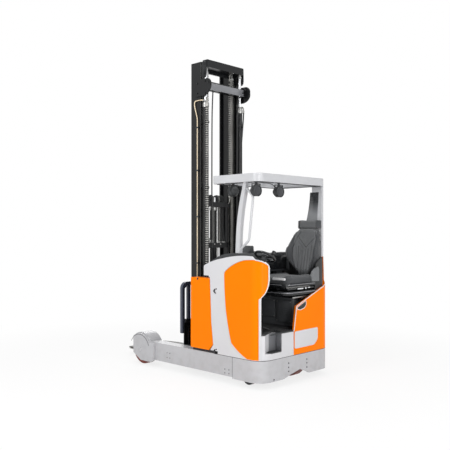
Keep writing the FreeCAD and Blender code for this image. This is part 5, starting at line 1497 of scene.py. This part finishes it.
# %% Display, switches and tray
display = Stock()
display.plate([(0.300, 1.380), (0.306, 1.448), (0.316, 1.456), (0.330, 1.450), (0.390, 1.400),
               (0.410, 1.380)], 0,
              -0.930, -0.780, 0.008)
display.done("display_case", "black_plastic", "chassis")
glass = Stock().plate([(0.2985, 1.392), (0.3030, 1.440), (0.3060, 1.440), (0.3015, 1.392)], 0, -0.918,
                      -0.792, 0.0006)
glass.done("display_glass", "gloss_plastic", "chassis")
dash_keys = Stock()
for x in (-0.760, -0.725, -0.690):
    dash_keys.bar((x - 0.012, 0.150, 1.366), (x + 0.012, 0.170, 1.380), 0.003)
dash_keys.turned((-0.995, 0.165, 1.352), (0, -0.2, 1), [(0, 0.018), (0.006, 0.018), (0.008, 0.015),
                                                        (0.020, 0.014),
                                                         (0.024, 0.0)], 20)
dash_keys.turned((-0.640, 0.180, 1.330), (0.3, 0, 1), [(0, 0.016), (0.008, 0.016), (0.010, 0.020),
                                                       (0.022, 0.020),
                                                        (0.028, 0.0)], 20)
dash_keys.done("dash_switches", "grey_plastic", "chassis")
tray = Stock()
tray.bar((-0.955, 0.170, 1.3815), (-0.785, 0.290, 1.3850), 0.0015)
for y in (0.170, 0.284):
    tray.bar((-0.955, y, 1.3815), (-0.785, y + 0.006, 1.391), 0.002)
tray.done("dash_tray", "hose_rubber", "chassis")

# %% [markdown]
# Three pedals stand on the mat. Each is a tilted plate with five ribs across it
# for grip, held up near its far end by a short post. The mat has round studs,
# and as there are many of them they are copied.

# %% Pedals
pedals = Stock()
for x, wide, tilt in ((-1.130, 0.055, 0.045), (-1.000, 0.060, 0.055), (-0.865, 0.060, 0.050)):
    pedals.plate([(0.300, 0.566), (0.420, 0.566 + tilt), (0.414, 0.576 + tilt), (0.296, 0.574)], 0,
                 x - wide / 2, x + wide / 2, 0.002)
    for k in range(5):
        y = 0.318 + k * 0.021
        z = 0.5745 + (y - 0.296) * tilt / 0.118
        pedals.bar((x - wide / 2 + 0.006, y, z), (x + wide / 2 - 0.006, y + 0.007, z + 0.006), 0.001)
    pedals.bar((x - 0.006, 0.400, 0.560), (x + 0.006, 0.412, 0.572 + tilt), 0.001)
pedals.done("pedals", "hose_rubber", "chassis")
studs = []
for i in range(20):
    for j in range(16):
        x, y = -1.255 + i * 0.030 + (0.015 if j % 2 else 0), -0.09 + j * 0.0255
        if -1.27 < x < -0.67 and not (x < -1.2 and 0.25 < y):
            studs.append((x, y, 0.5598))


def stud_shape(graph, size):
    return moved(graph, graph.node("GeometryNodeMeshCone", None, {
        "Vertices": 8, "Radius Top": size["radius"] * 0.7, "Radius Bottom": size["radius"],
        "Depth": size["radius"] * 0.35}).wire("Mesh"))


copies("mat_studs", stud_shape, studs, [(0, 0, 1)] * len(studs), "rubber_mat", "chassis", radius=0.0065)
print("cab floor dressed")

# %% [markdown]
# The footwell is lined with dark moulded walls, and the inside of the right
# panel is covered the same way, so that no paint shows inside. Two stepped
# boxes under the seat hold the electrics.

# %% Cab lining
lining = Stock()
lining.plate([(0.875, -0.606), (1.1225, -0.606), (1.218, -0.690), (1.2185, -1.105), (0.875, -1.105)], 1,
             -0.5715, -0.567, 0.0015)
lining.plate([(1.225, -1.112), (1.315, -1.125), (1.315, -1.150), (0.560, -1.150), (0.560, -1.112)], 1,
             -0.570, -0.566, 0.0015)
turn = [math.radians(180 + 7.5 * k) for k in range(13)]
corner = (-1.140, -0.450)
lining.plate(arc_points(corner, 0.120, turn) + arc_points(corner, 0.115, turn[::-1]), 2, 0.870, 1.316, 0)
lining.plate([(y, z) for z, y in ((0.870, -0.450), (1.312, -0.450), (1.250, -0.360), (0.870, -0.335))], 0,
             -1.2615, -1.2575,
             0.001)
lining.done("cab_lining", "hose_rubber", "chassis")
boxes_under = Stock()
boxes_under.bar((-1.120, -0.122, 0.600), (-0.900, -0.100, 0.842), 0.008)
boxes_under.bar((-0.880, -0.122, 0.640), (-0.680, -0.104, 0.842), 0.008)
for k in range(6):
    boxes_under.bar((-1.095, -0.102, 0.640 + 0.020 * k), (-0.925, -0.0965, 0.650 + 0.020 * k), 0.0015)
boxes_under.bar((-1.130, -0.560, 0.868), (-0.660, -0.455, 0.878), 0.004)
boxes_under.done("base_covers", "seat_shell", "chassis")
screws = [(-1.105, -0.1, 0.615), (-1.105, -0.1, 0.827), (-0.915, -0.1, 0.827), (-0.915, -0.1, 0.615),
          (-0.868, -0.104, 0.655), (-0.692, -0.104, 0.655), (-0.868, -0.104, 0.828),
          (-0.692, -0.104, 0.828)]
copies("cover_screws", socket_shape, screws, [(0, 1, 0)] * len(screws), "zinc", "chassis", 1.0, 7,
       across=0.012)
print("lining done")

# %% [markdown]
# ## Pillar pad, lamps and roof
# The right pillar has a dark gloss pad on its inner side. It is a plate whose
# front edge follows the pillar, level by level, with a finish of its own that
# is paler towards its foot: its colour, dark at the top and pale below, is
# painted shade and painted reflection.

# %% Pillar pad
pad_finish = Finish("pad_gloss", tint(52, 54, 57), 0.14, coat_weight=0.6, coat_roughness=0.08)
cloudy = pad_finish.cloud(3.0, 3.0)
height = pad_finish.axis("Z")
# Dark at the top and paler towards the foot: painted shade and painted reflection.
painted_light = height.steps(1.98, 1.80) * (0.75 + cloudy * 0.4)
pad_finish.set("Base Color", pad_finish.blend(painted_light, tint(34, 36, 38), tint(128, 130, 133)))
pad_finish.set("Roughness", 0.12 + cloudy * 0.12)
pad_finish.relief(pad_finish.cloud(500.0, 1.0), 0.00003)
finishes["pad_gloss"] = pad_finish.material
pillar = [v.co for v in nodes["right_pillar"].data.vertices]
levels = sorted({round(p.z, 3) for p in pillar if 1.24 < p.z < 2.06})[::2]
front_edge = [(z, max(p.x for p in pillar if abs(p.z - z) < 0.002) + 0.022) for z in levels]
pad = Stock()
pad.plate(front_edge + [(2.060, -1.165), (1.250, -1.110)], 1, -0.5495, -0.5455, 0.001)
pad.done("pillar_pad", "pad_gloss", "chassis")

# %% [markdown]
# Three work lamps hang under the roof. A housing is turned on its own axis,
# with a rim, a shallow ribbed lens and cooling fins behind, and a bracket holds
# it. A cable runs under the roof frame between the two rear ones.

# %% Lamps
lamps = (("rear_lamp", -1.208, 0.225, 2.030, -1), ("side_lamp", -1.172, 0.545, 2.030, -1),
         ("front_work_lamp", -0.690, 0.375, 2.050, 1))
for label, x, y, z, way in lamps:
    housing = Stock()
    face = x + way * 0.022
    housing.turned((face - way * 0.004, y, z), (way, 0, 0), [(0, 0.0580), (0, 0.0600), (0.008, 0.0605),
                                                             (0.012, 0.0580),
                                                              (0.012, 0.0500), (0.006, 0.0480)], 36)
    back = x - way * 0.021
    housing.turned((back, y, z), (-way, 0, 0), [(0, 0.054), (0.012, 0.050), (0.030, 0.036), (0.042, 0.022),
                                                (0.046, 0.0)], 32)
    for k in range(5):
        radius = 0.053 - 0.006 * k
        housing.turned((back - way * (0.006 + 0.0075 * k), y, z), (-way, 0, 0),
                       [(0, radius - 0.004), (0, radius), (0.002, radius),
                                                                           (0.002, radius - 0.004)], 28)
    housing.bar((x - 0.006, y - 0.066, z - 0.004), (x + 0.006, y - 0.058, z + 0.070), 0.002)
    housing.bar((x - 0.006, y + 0.058, z - 0.004), (x + 0.006, y + 0.066, z + 0.070), 0.002)
    housing.bar((x - 0.008, y - 0.066, z + 0.064), (x + 0.008, y + 0.066, z + 0.072), 0.002)
    housing.done(label + "_housing", "black_plastic", "chassis")
    lens_part = Stock()
    lens_part.turned((face + way * 0.001, y, z), (way, 0, 0), [(0, 0.049), (0.002, 0.049), (0.005, 0.038),
                                                               (0.0065, 0.020),
                                                                (0.007, 0.0)], 36)
    for k in range(-3, 4):
        across = math.sqrt(0.046 ** 2 - (k * 0.0125) ** 2)
        lens_part.bar((face + way * 0.003 - 0.001, y + k * 0.0125 - 0.002, z - across),
                      (face + way * 0.003 + 0.004, y + k * 0.0125 + 0.002, z + across), 0)
    lens_part.done(label + "_lens", "lamp_glass", "chassis")
pipe("lamp_cable", [(-1.186, 0.225, 2.035), (-1.165, 0.228, 2.06), (-1.155, 0.240, 2.10),
                    (-1.150, 0.30, 2.118),
                    (-1.150, 0.48, 2.118), (-1.150, 0.520, 2.10), (-1.150, 0.545, 2.04)], 0.0035,
                    "hose_rubber", "chassis")

# %% [markdown]
# A dark seal runs round under the roof frame, and screws hold the frame to
# the pillars. They're small, but they show against the pale paint.

# %% Roof seal and screws
roof = Stock()
roof.bar((-1.205, 0.505, 2.118), (-0.585, 0.520, 2.1255), 0.002)
roof.bar((-1.205, -0.520, 2.118), (-0.585, -0.505, 2.1255), 0.002)
roof.bar((-0.600, -0.50, 2.118), (-0.585, 0.50, 2.1255), 0.002)
roof.bar((-1.205, -0.50, 2.118), (-1.190, 0.50, 2.1255), 0.002)
roof.done("roof_seal", "black_plastic", "chassis")
roof_screws = [(x, side * 0.535, 2.1255) for side in (1, -1) for x in (-1.12, -0.92, -0.72)]
copies("roof_screws", screw_shape, roof_screws, [(0, 0, -1)] * len(roof_screws), "zinc", "chassis", 1.0, 9,
       across=0.012)
print("roof dressed")

# %% [markdown]
# ## Body trim
# The panels meet at open joints. A soft black gasket fills the joint between
# the body and the chassis, and a pale bead is pushed over the cut edges of the
# panels where the operator climbs in. A bead is a thin tube swept along the
# edge, so the pipe helper makes it too.

# %% Edge beads
x = -1.2895
pipe("rear_panel_bead", [(x, 0.0725, 0.548), (x, 0.064, 0.562), (x, 0.0265, 0.796), (x, 0.024, 0.806),
                         (x, 0.015, 0.813),
                         (x, -0.20, 0.894), (x, -0.44, 0.984), (-1.288, -0.462, 0.990),
                         (-1.270, -0.525, 1.014)],
     0.0048, "pale_plastic", "chassis")
edge = [(0.522, 1.299), (0.504, 1.286), (0.488, 1.275), (0.479, 1.262), (0.473, 1.250), (0.471, 1.236),
        (0.471, 1.190),
        (0.471, 1.130), (0.474, 1.104), (0.480, 1.069), (0.491, 1.037), (0.504, 1.007), (0.518, 0.981),
        (0.533, 0.962),
        (0.546, 0.946), (0.555, 0.932), (0.556, 0.915), (0.556, 0.86), (0.556, 0.62), (0.556, 0.550)]
pipe("corner_bead", [(-1.1395 - math.sqrt(0.0225 - (y - 0.45) ** 2), y - 0.001, z) for y, z in edge],
     0.0042,
     "pale_plastic", "chassis")


def corner_path(out=0.0006, wall=0.004, steps=10):
    """A closed band round the chassis: both sides, both rear corners and the rear."""
    half, round_off, rear, front = 0.600, 0.150, -1.290, -0.62
    rings = []
    for offset in (out, -wall):
        ring = [(front, half + offset)]
        for k in range(steps + 1):
            t = math.radians(90 + 90 * k / steps)
            ring.append((rear + round_off + (round_off + offset) * math.cos(t),
                         half - round_off + (round_off + offset) * math.sin(t)))
        ring += [(px, -py) for px, py in reversed(ring)]
        rings.append(ring)
    return rings[0] + rings[1][::-1]


gasket = Stock().plate(corner_path(), 2, 0.2895, 0.2945, 0.0005)
gasket.done("chassis_gasket", "hose_rubber", "chassis")
seams = Stock()
for side in (1, -1):
    seams.plate([(0.086, -0.8905), (0.086, -0.8865), (0.289, -0.8865), (0.289, -0.8905)], 1, 0.5975 * side,
                0.6008 * side, 0)
    seams.plate([(0.300, -0.6055), (0.300, -0.6015), (1.085, -0.6015), (1.085, -0.6055)], 1, 0.592 * side,
                0.5996 * side, 0)
seams.done("side_seams", "hose_rubber", "chassis")

# %% [markdown]
# The rear panel carries a blank plate and a hand hold: a slot with a pale rim,
# where the operator pulls up from the step. Each is an outline with rounded
# corners, cut as a thin plate that stands a little proud of the panel.

# %% Plate and hand hold
def rounded(corners, radius, steps=5):
    """An outline whose corners are rounded."""
    out = []
    for k, corner in enumerate(corners):
        here = Vector(corner)
        before = (Vector(corners[k - 1]) - here).normalized()
        after = (Vector(corners[(k + 1) % len(corners)]) - here).normalized()
        for j in range(steps + 1):
            share = j / steps
            out.append(tuple(here + before * radius * (1 - share) ** 2 + after * radius * share ** 2))
    return out


plate = Stock().plate(rounded([(0.058, 0.542), (-0.355, 0.547), (-0.352, 0.415), (-0.288, 0.361),
                               (0.058, 0.359)], 0.022), 0,
                      -1.2922, -1.2890, 0.0008)
plate.done("blank_plate", "panel_silver", "chassis")
grip = [(0.020, 0.794), (-0.142, 0.862), (-0.144, 0.808), (-0.108, 0.778), (-0.040, 0.762), (0.014, 0.772)]
rim = Stock().plate(rounded(grip, 0.012), 0, -1.2935, -1.2890, 0.0015)
rim.done("hand_hold_rim", "pale_plastic", "chassis")
grip = [(0.013, 0.794), (-0.134, 0.853), (-0.136, 0.812), (-0.104, 0.785), (-0.040, 0.770), (0.009, 0.779)]
slot = Stock().plate(rounded(grip, 0.010), 0, -1.2945, -1.2930, 0.0004)
slot.done("hand_hold_slot", "hose_rubber", "chassis")
print("plate and hand hold on")

# %% [markdown]
# Panels that come off show how they are held. Two latches sit on the joint
# behind the left battery cover, and each cover has a round button near its
# top. The latch is a cut plate with a turned pivot, because its outline is
# what one sees.

# %% Latches and buttons
latches = Stock()
for z in (0.968, 0.318):
    foot = 0.5975 if z > 0.5 else 0.5840
    latches.plate([(z + 0.026, -0.630), (z + 0.006, -0.606), (z - 0.010, -0.608), (z - 0.028, -0.640),
                   (z - 0.024, -0.650), (z - 0.002, -0.626), (z + 0.020, -0.640)],
                  1, foot, 0.6035, 0.0012)
    latches.turned((-0.650, foot, z + 0.024), (0, 1, 0), [(0, 0.008), (0.6015 - foot, 0.008),
                                                          (0.6030 - foot, 0.005),
                                                          (0.6030 - foot, 0.0)], 18)
latches.done("side_latches", "gloss_plastic", "chassis")
buttons = Stock()
for side in (1, -1):
    buttons.turned((-0.358, 0.599 * side, 1.086), (0, side, 0),
                   [(0, 0.012), (0.003, 0.012), (0.0045, 0.008), (0.0045, 0.0)], 20)
buttons.done("cover_buttons", "gloss_plastic", "chassis")
print("latches and buttons on")

# %% [markdown]
# Six screws show low on the rear of the chassis, four plugs low on each side
# near the cab and four more on each support arm, and a drain plug at the rear.
# Screws and plugs are copies of one shape. The drain plug is a turned disc.

# %% Screws and plugs
holes = [(-1.2900, y, z) for y, levels in ((0.160, (0.2215, 0.178, 0.134)), (-0.156, (0.219, 0.177, 0.132)))
         for z in levels]
copies("rear_screws", socket_shape, holes, [(-1, 0, 0)] * len(holes), "gloss_plastic", "chassis", 1.0, 11,
       across=0.015)
arm_screws = [(-1.290 + px, side * 0.600, pz) for side in (1, -1)
              for px in (1.400, 1.450) for pz in (0.1405, 0.1955)]
arm_screws += [(-1.290 + px, side * 0.600, pz) for side in (1, -1)
               for px in (0.450, 0.510) for pz in (0.110, 0.150)]
copies("arm_plugs", socket_shape, arm_screws, [(0, math.copysign(1, p[1]), 0) for p in arm_screws],
       "gloss_plastic", "chassis", 1.0, 12, across=0.012)
drain = Stock().turned((-1.2899, 0.400, 0.086), (-1, 0, 0),
                       [(0, 0.009), (0.001, 0.009), (0.0016, 0.006), (0.0016, 0.0)], 18)
drain.done("drain_plug", "gloss_plastic", "chassis")
print(len(holes), "screws and", len(arm_screws), "plugs in")

# %% [markdown]
# The entry step is a notch. Black nosing guards the edges that shoes scrape,
# a grey lining covers its floor and two of its walls, and ten rubber ribs keep
# a wet shoe from slipping. The lining's grey, darker than the chassis paint, is
# painted shade for the inside of the notch. The ribs are real bars, because
# ridges this high show in outline, which a bump in the material can't do.

# %% Entry step
lips = Stock()
for y in (0.080, 0.268):
    lips.bar((-1.2895, y, 0.548), (-1.110, y + 0.004, 0.5610), 0.001)
lips.bar((-1.2905, 0.078, 0.5440), (-1.283, 0.452, 0.5575), 0.002)
lips.bar((-1.2905, 0.282, 0.3560), (-1.284, 0.452, 0.3660), 0.002)
lips.done("step_nosing", "black_plastic", "chassis")
# The grey lining is painted shade inside the notch.
lining = Stock()
lining.bar((-1.2000, 0.258, 0.3605), (-1.1920, 0.474, 0.5440), 0.003)
lining.plate([(-1.2860, 0.2760), (-1.2000, 0.2560), (-1.2000, 0.2600), (-1.2860, 0.2785)][::-1], 2, 0.3605,
             0.5440, 0.0005)
lining.bar((-1.2820, 0.262, 0.3600), (-1.1960, 0.472, 0.3630), 0.001)
lining.done("step_lining", "satin_grey", "chassis")
grooves = Stock()
for k in range(10):
    y = 0.268 + k * 0.0200
    grooves.bar((-1.276, y, 0.3620), (-1.202, y + 0.010, 0.3670), 0.001)
grooves.done("step_ribs", "rubber_mat", "chassis")
print("step trimmed")

# %% [markdown]
# ## Wheels
# A load wheel is an iron hub with bearings, a cap and a ring of screws under a
# band of polyurethane. Screws and cap turn with the wheel, so they ride it.
# The guard over it has a dark gap between its side plate and its arch.

# %% Load wheels and guards
wheel_x, wheel_z = 0.635, 0.1775
for side, label in both_sides:
    axle = Vector((wheel_x, 0.5275 * side, wheel_z))
    outer = axle + Vector((0, 0.053 * side, 0))
    cap = Stock()
    cap.turned(outer - Vector((0, 0.010 * side, 0)), (0, side, 0),
               [(0, 0.062), (0.008, 0.062), (0.014, 0.056), (0.016, 0.036),
                                                                    (0.020, 0.030), (0.020, 0.0)], 36)
    cap.done(label + "_wheel_cap", "wheel_iron", label + "_load_wheel", sharp=30)
    ring = [outer + Vector((0.083 * math.cos(t), -0.006 * side, 0.083 * math.sin(t)))
            for t in [2 * math.pi * k / 8 for k in range(8)]]
    copies(label + "_wheel_screws", screw_shape, ring, [(0, side, 0)] * 8, "zinc", label + "_load_wheel",
           1.0, 13,
           across=0.013)
    line = [math.radians(28 + 6 * k) for k in range(23)]
    centre = (wheel_x, wheel_z)
    band = arc_points(centre, 0.186, line) + arc_points(centre, 0.181, line[::-1])
    arch = Stock().plate([(pz, px) for px, pz in band], 1, 0.6290 * side, 0.6312 * side, 0)
    arch.done(label + "_guard_gap", "hose_rubber", "chassis")
    hub = Stock()
    hub.turned((wheel_x, 0.6295 * side, wheel_z), (0, side, 0),
               [(0, 0.026), (0.004, 0.026), (0.006, 0.022), (0.006, 0.0)], 28)
    hub.bar((0.612, 0.6285 * side if side > 0 else -0.6345, 0.196),
            (0.658, 0.6345 if side > 0 else -0.6285, 0.204), 0.001)
    hub.done(label + "_axle_end", "chassis_grey", "chassis")
    stub = Stock()
    stub.plate([(0.205, 0.757), (0.205, 0.780), (0.188, 0.7815), (0.170, 0.757)], 1, 0.440 * side,
               0.520 * side, 0.003)
    stub.done(label + "_guard_stub", "black_plastic", "chassis")
drive = Vector((-1.035, -0.190, 0.1715))
cup = Stock().turned(drive - Vector((0, 0.050, 0)), (0, -1, 0),
                     [(0, 0.034), (0.012, 0.034), (0.020, 0.028), (0.022, 0.0)], 28)
cup.done("drive_hub_cap", "wheel_iron", "drive_wheel")
ring = [drive + Vector((0.055 * math.cos(t), -0.0565,
                        0.055 * math.sin(t))) for t in [2 * math.pi * k / 7 for k in range(7)]]
copies("drive_wheel_nuts", screw_shape, ring, [(0, -1, 0)] * 7, "zinc", "drive_wheel", 1.0, 14,
       across=0.017)
print("wheels dressed")

# %% [markdown]
# ## Forks and carriage
# Forks scrape along concrete and pallets, so the paint is gone from their tips
# and undersides. Pins hold them on the shift frame, and a small cylinder
# between them moves the frame sideways.

# %% Fork carriage
for side, label in both_sides:
    wear = Stock()
    low, high = sorted((0.194 * side, 0.306 * side))
    wear.bar((0.230, low, 0.0640), (1.265, high, 0.0655), 0.0003)
    wear.bar((0.1935, low + 0.004, 0.110), (0.1942, high - 0.004, 0.300), 0.0002)
    wear.done(label + "_fork_wear", "chain_steel", "fork_unit")
    pins = Stock()
    pins.turned((0.170, 0.250 * side, 0.556), (0, 0, 1), [(0, 0.016), (0.012, 0.016), (0.015, 0.012),
                                                          (0.026, 0.012),
                                                           (0.029, 0.008), (0.029, 0.0)], 20)
    pins.bar((0.152, 0.236 * side if side > 0 else -0.264, 0.520),
             (0.192, 0.264 if side > 0 else -0.236, 0.528), 0.002)
    pins.done(label + "_fork_pin", "zinc", "fork_unit")
shift = Stock()
shift.rod((0.1425, -0.165, 0.335), (0.1425, 0.035, 0.335), 0.0068, 20)
shift.turned((0.1425, 0.028, 0.335), (0, 1, 0), [(0, 0.0070), (0.002, 0.0074), (0.016, 0.0074),
                                                 (0.018, 0.0060)], 20)
shift.done("shift_cylinder", "black_paint", "fork_unit")
stripe = Stock().rod((0.1425, 0.040, 0.335), (0.1425, 0.284, 0.335), 0.0040, 16)
stripe.done("shift_rod", "chrome_rod", "fork_unit")
frame_screws = [(0.1500, side * 0.322, z) for side in (1, -1) for z in (0.175, 0.225, 0.435, 0.490)]
copies("shift_screws", socket_shape, frame_screws, [(1, 0, 0)] * 8, "zinc", "fork_unit", 1.0, 15,
       across=0.013)
rest_screws = [(0.1900, side * 0.350, z) for side in (1, -1) for z in (0.42, 0.47, 0.52)]
copies("backrest_screws", socket_shape, rest_screws, [(1, 0, 0)] * 6, "zinc", "fork_unit", 1.0, 16,
       across=0.014)
print("carriage dressed")

# %% [markdown]
# ## Battery
# The top of the battery shows its cells between the covers: three rows of
# eight, each with a red cap, and two thick cables that lie across them.

# %% Battery top
cells = Stock()
for i in range(3):
    for j in range(8):
        x0, y0 = -0.575 + i * 0.092, -0.470 + j * 0.118
        cells.bar((x0, y0, 1.079), (x0 + 0.086, y0 + 0.112, 1.086), 0.003)
cells.done("battery_cells", "grey_plastic", "chassis")
caps = [(-0.532 + i * 0.092, -0.414 + j * 0.118, 1.086) for i in range(3) for j in range(8)]


def cap_shape(graph, size):
    base = moved(graph, disc(graph, 12, size["radius"], 0.005), z=0.0025)
    return joined(graph, base, moved(graph, disc(graph, 12, size["radius"] * 0.7, 0.004), z=0.007))


copies("cell_caps", cap_shape, caps, [(0, 0, 1)] * len(caps), "tread_red", "chassis", radius=0.013)
for y in (-0.05, 0.05):
    pipe("battery_cable_%s" % ("left" if y > 0 else "right"), [(-0.42, y, 1.089), (-0.44, y, 1.0935),
                                                               (-0.50, y * 0.9, 1.0935),
                                                               (-0.56, y * 0.8, 1.0935),
                                                               (-0.580, y * 0.7, 1.089)],
         0.0062, "hose_rubber", "chassis")
print("battery dressed")

# %% [markdown]
# ## Floor and light
# A studio stands its goods on white paper under large soft lamps. The floor is
# a big pale sheet. To the camera it is almost pure white, yet it keeps a
# soft shadow, because only a part of its shader glows and the rest is matt
# paint. The world glows white to the camera and to mirrors, and more gently to
# everything else, so that the truck itself isn't lit any harder.

# %% Floor
def seen_directly(graph):
    """1 for rays from the camera, or from a mirror or glass, and 0 for the rest."""
    path = graph.node("ShaderNodeLightPath")
    return path.wire("Is Camera Ray") + path.wire("Is Glossy Ray") + path.wire("Is Transmission Ray")


paper = bpy.data.materials.new("floor_paper")
paper.use_nodes = True
sheet = Graph(paper.node_tree)
sheet.tree.nodes.clear()
matt = sheet.node("ShaderNodeBsdfDiffuse", None, {"Color": (0.9, 0.9, 0.9, 1)}).wire()
glow = sheet.node("ShaderNodeEmission", None, {"Color": (1, 1, 1, 1), "Strength": 1.0}).wire()
place = sheet.node("ShaderNodeTexCoord").wire("Object")
reach = sheet.node("ShaderNodeVectorMath", {"operation": "LENGTH"}, {0: place}).wire("Value")
far = reach.steps(2.0, 4.5)
seen = seen_directly(sheet)
share = seen.sum("MINIMUM", seen, 1.0) * (0.80 + 0.20 * far)
both = sheet.node("ShaderNodeMixShader", None, {0: share, 1: matt, 2: glow}).wire()
sheet.node("ShaderNodeOutputMaterial", None, {"Surface": both})
floor_mesh = bpy.data.meshes.new("floor")
wide = 30.0
floor_mesh.from_pydata([(-wide, -wide, 0), (wide, -wide, 0), (wide, wide, 0), (-wide, wide, 0)], [],
                       [(0, 1, 2, 3)])
floor_mesh.materials.append(paper)
floor = bpy.data.objects.new("floor", floor_mesh)
floor.location.z = -0.001
bpy.context.scene.collection.objects.link(floor)
floor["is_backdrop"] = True
print("floor", wide * 2, "m square")

# %% [markdown]
# The light is a plain studio: an even pale world, a large lamp above, tall
# strips at the sides that put long soft shines on the paint, and a weak lamp
# in front. Camera, glossy and transmission rays see a white world, so the
# chrome mirrors the same white that stands behind the truck.

# %% World and lamps
world = bpy.data.worlds.new("studio")
world.use_nodes = True
bpy.context.scene.world = world
sky = Graph(world.node_tree)
sky.tree.nodes.clear()
plain = sky.node("ShaderNodeBackground", None, {"Color": (1, 1, 1, 1), "Strength": 0.42}).wire()
white = sky.node("ShaderNodeBackground", None, {"Color": (1, 1, 1, 1), "Strength": 1.0}).wire()
clear = sky.node("ShaderNodeMixShader", None, {0: seen_directly(sky), 1: plain, 2: white}).wire()
sky.node("ShaderNodeOutputWorld", None, {"Surface": clear})


def lamp(name, place, aim, wide, high, power):
    light = bpy.data.lights.new(name, "AREA")
    light.shape, light.size, light.size_y, light.energy = "RECTANGLE", wide, high, power
    made = bpy.data.objects.new(name, light)
    made.location = place
    made.rotation_euler = (Vector(aim) - Vector(place)).to_track_quat("-Z", "Y").to_euler()
    bpy.context.scene.collection.objects.link(made)


lamp("top_lamp", (-0.5, 0.5, 6.5), (-0.2, 0, 0.5), 5.0, 5.0, 150)
lamp("side_strip", (-0.6, 6.0, 3.6), (-0.5, 0, 2.1), 1.1, 4.2, 150)
lamp("rear_strip", (-6.2, 0.6, 2.2), (-0.6, 0, 1.2), 1.0, 4.2, 70)
lamp("corner_strip", (-6.5, 3.4, 2.0), (-1.0, 0.4, 1.2), 0.22, 4.2, 105)
lamp("front_lamp", (5.5, -4.0, 4.0), (0, 0, 1.2), 4.0, 4.0, 120)
view = bpy.context.scene.view_settings
view.view_transform = "Standard"
print("lamps", len(bpy.data.lights))

# %% [markdown]
# ## Sizes at the end
# Blender only dresses the truck, so the dressed model's box has to stay that of
# the CAD model, but for cloth that may stand a little proud. Both boxes are
# printed side by side.

# %% Sizes and finish
seen_low, seen_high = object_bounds()
boxes = {"cad": [list(cad_low), list(cad_high)], "visual": [list(seen_low), list(seen_high)]}
for key, (low, high) in boxes.items():
    print(key, [round(v, 4) for v in low], [round(v, 4) for v in high])
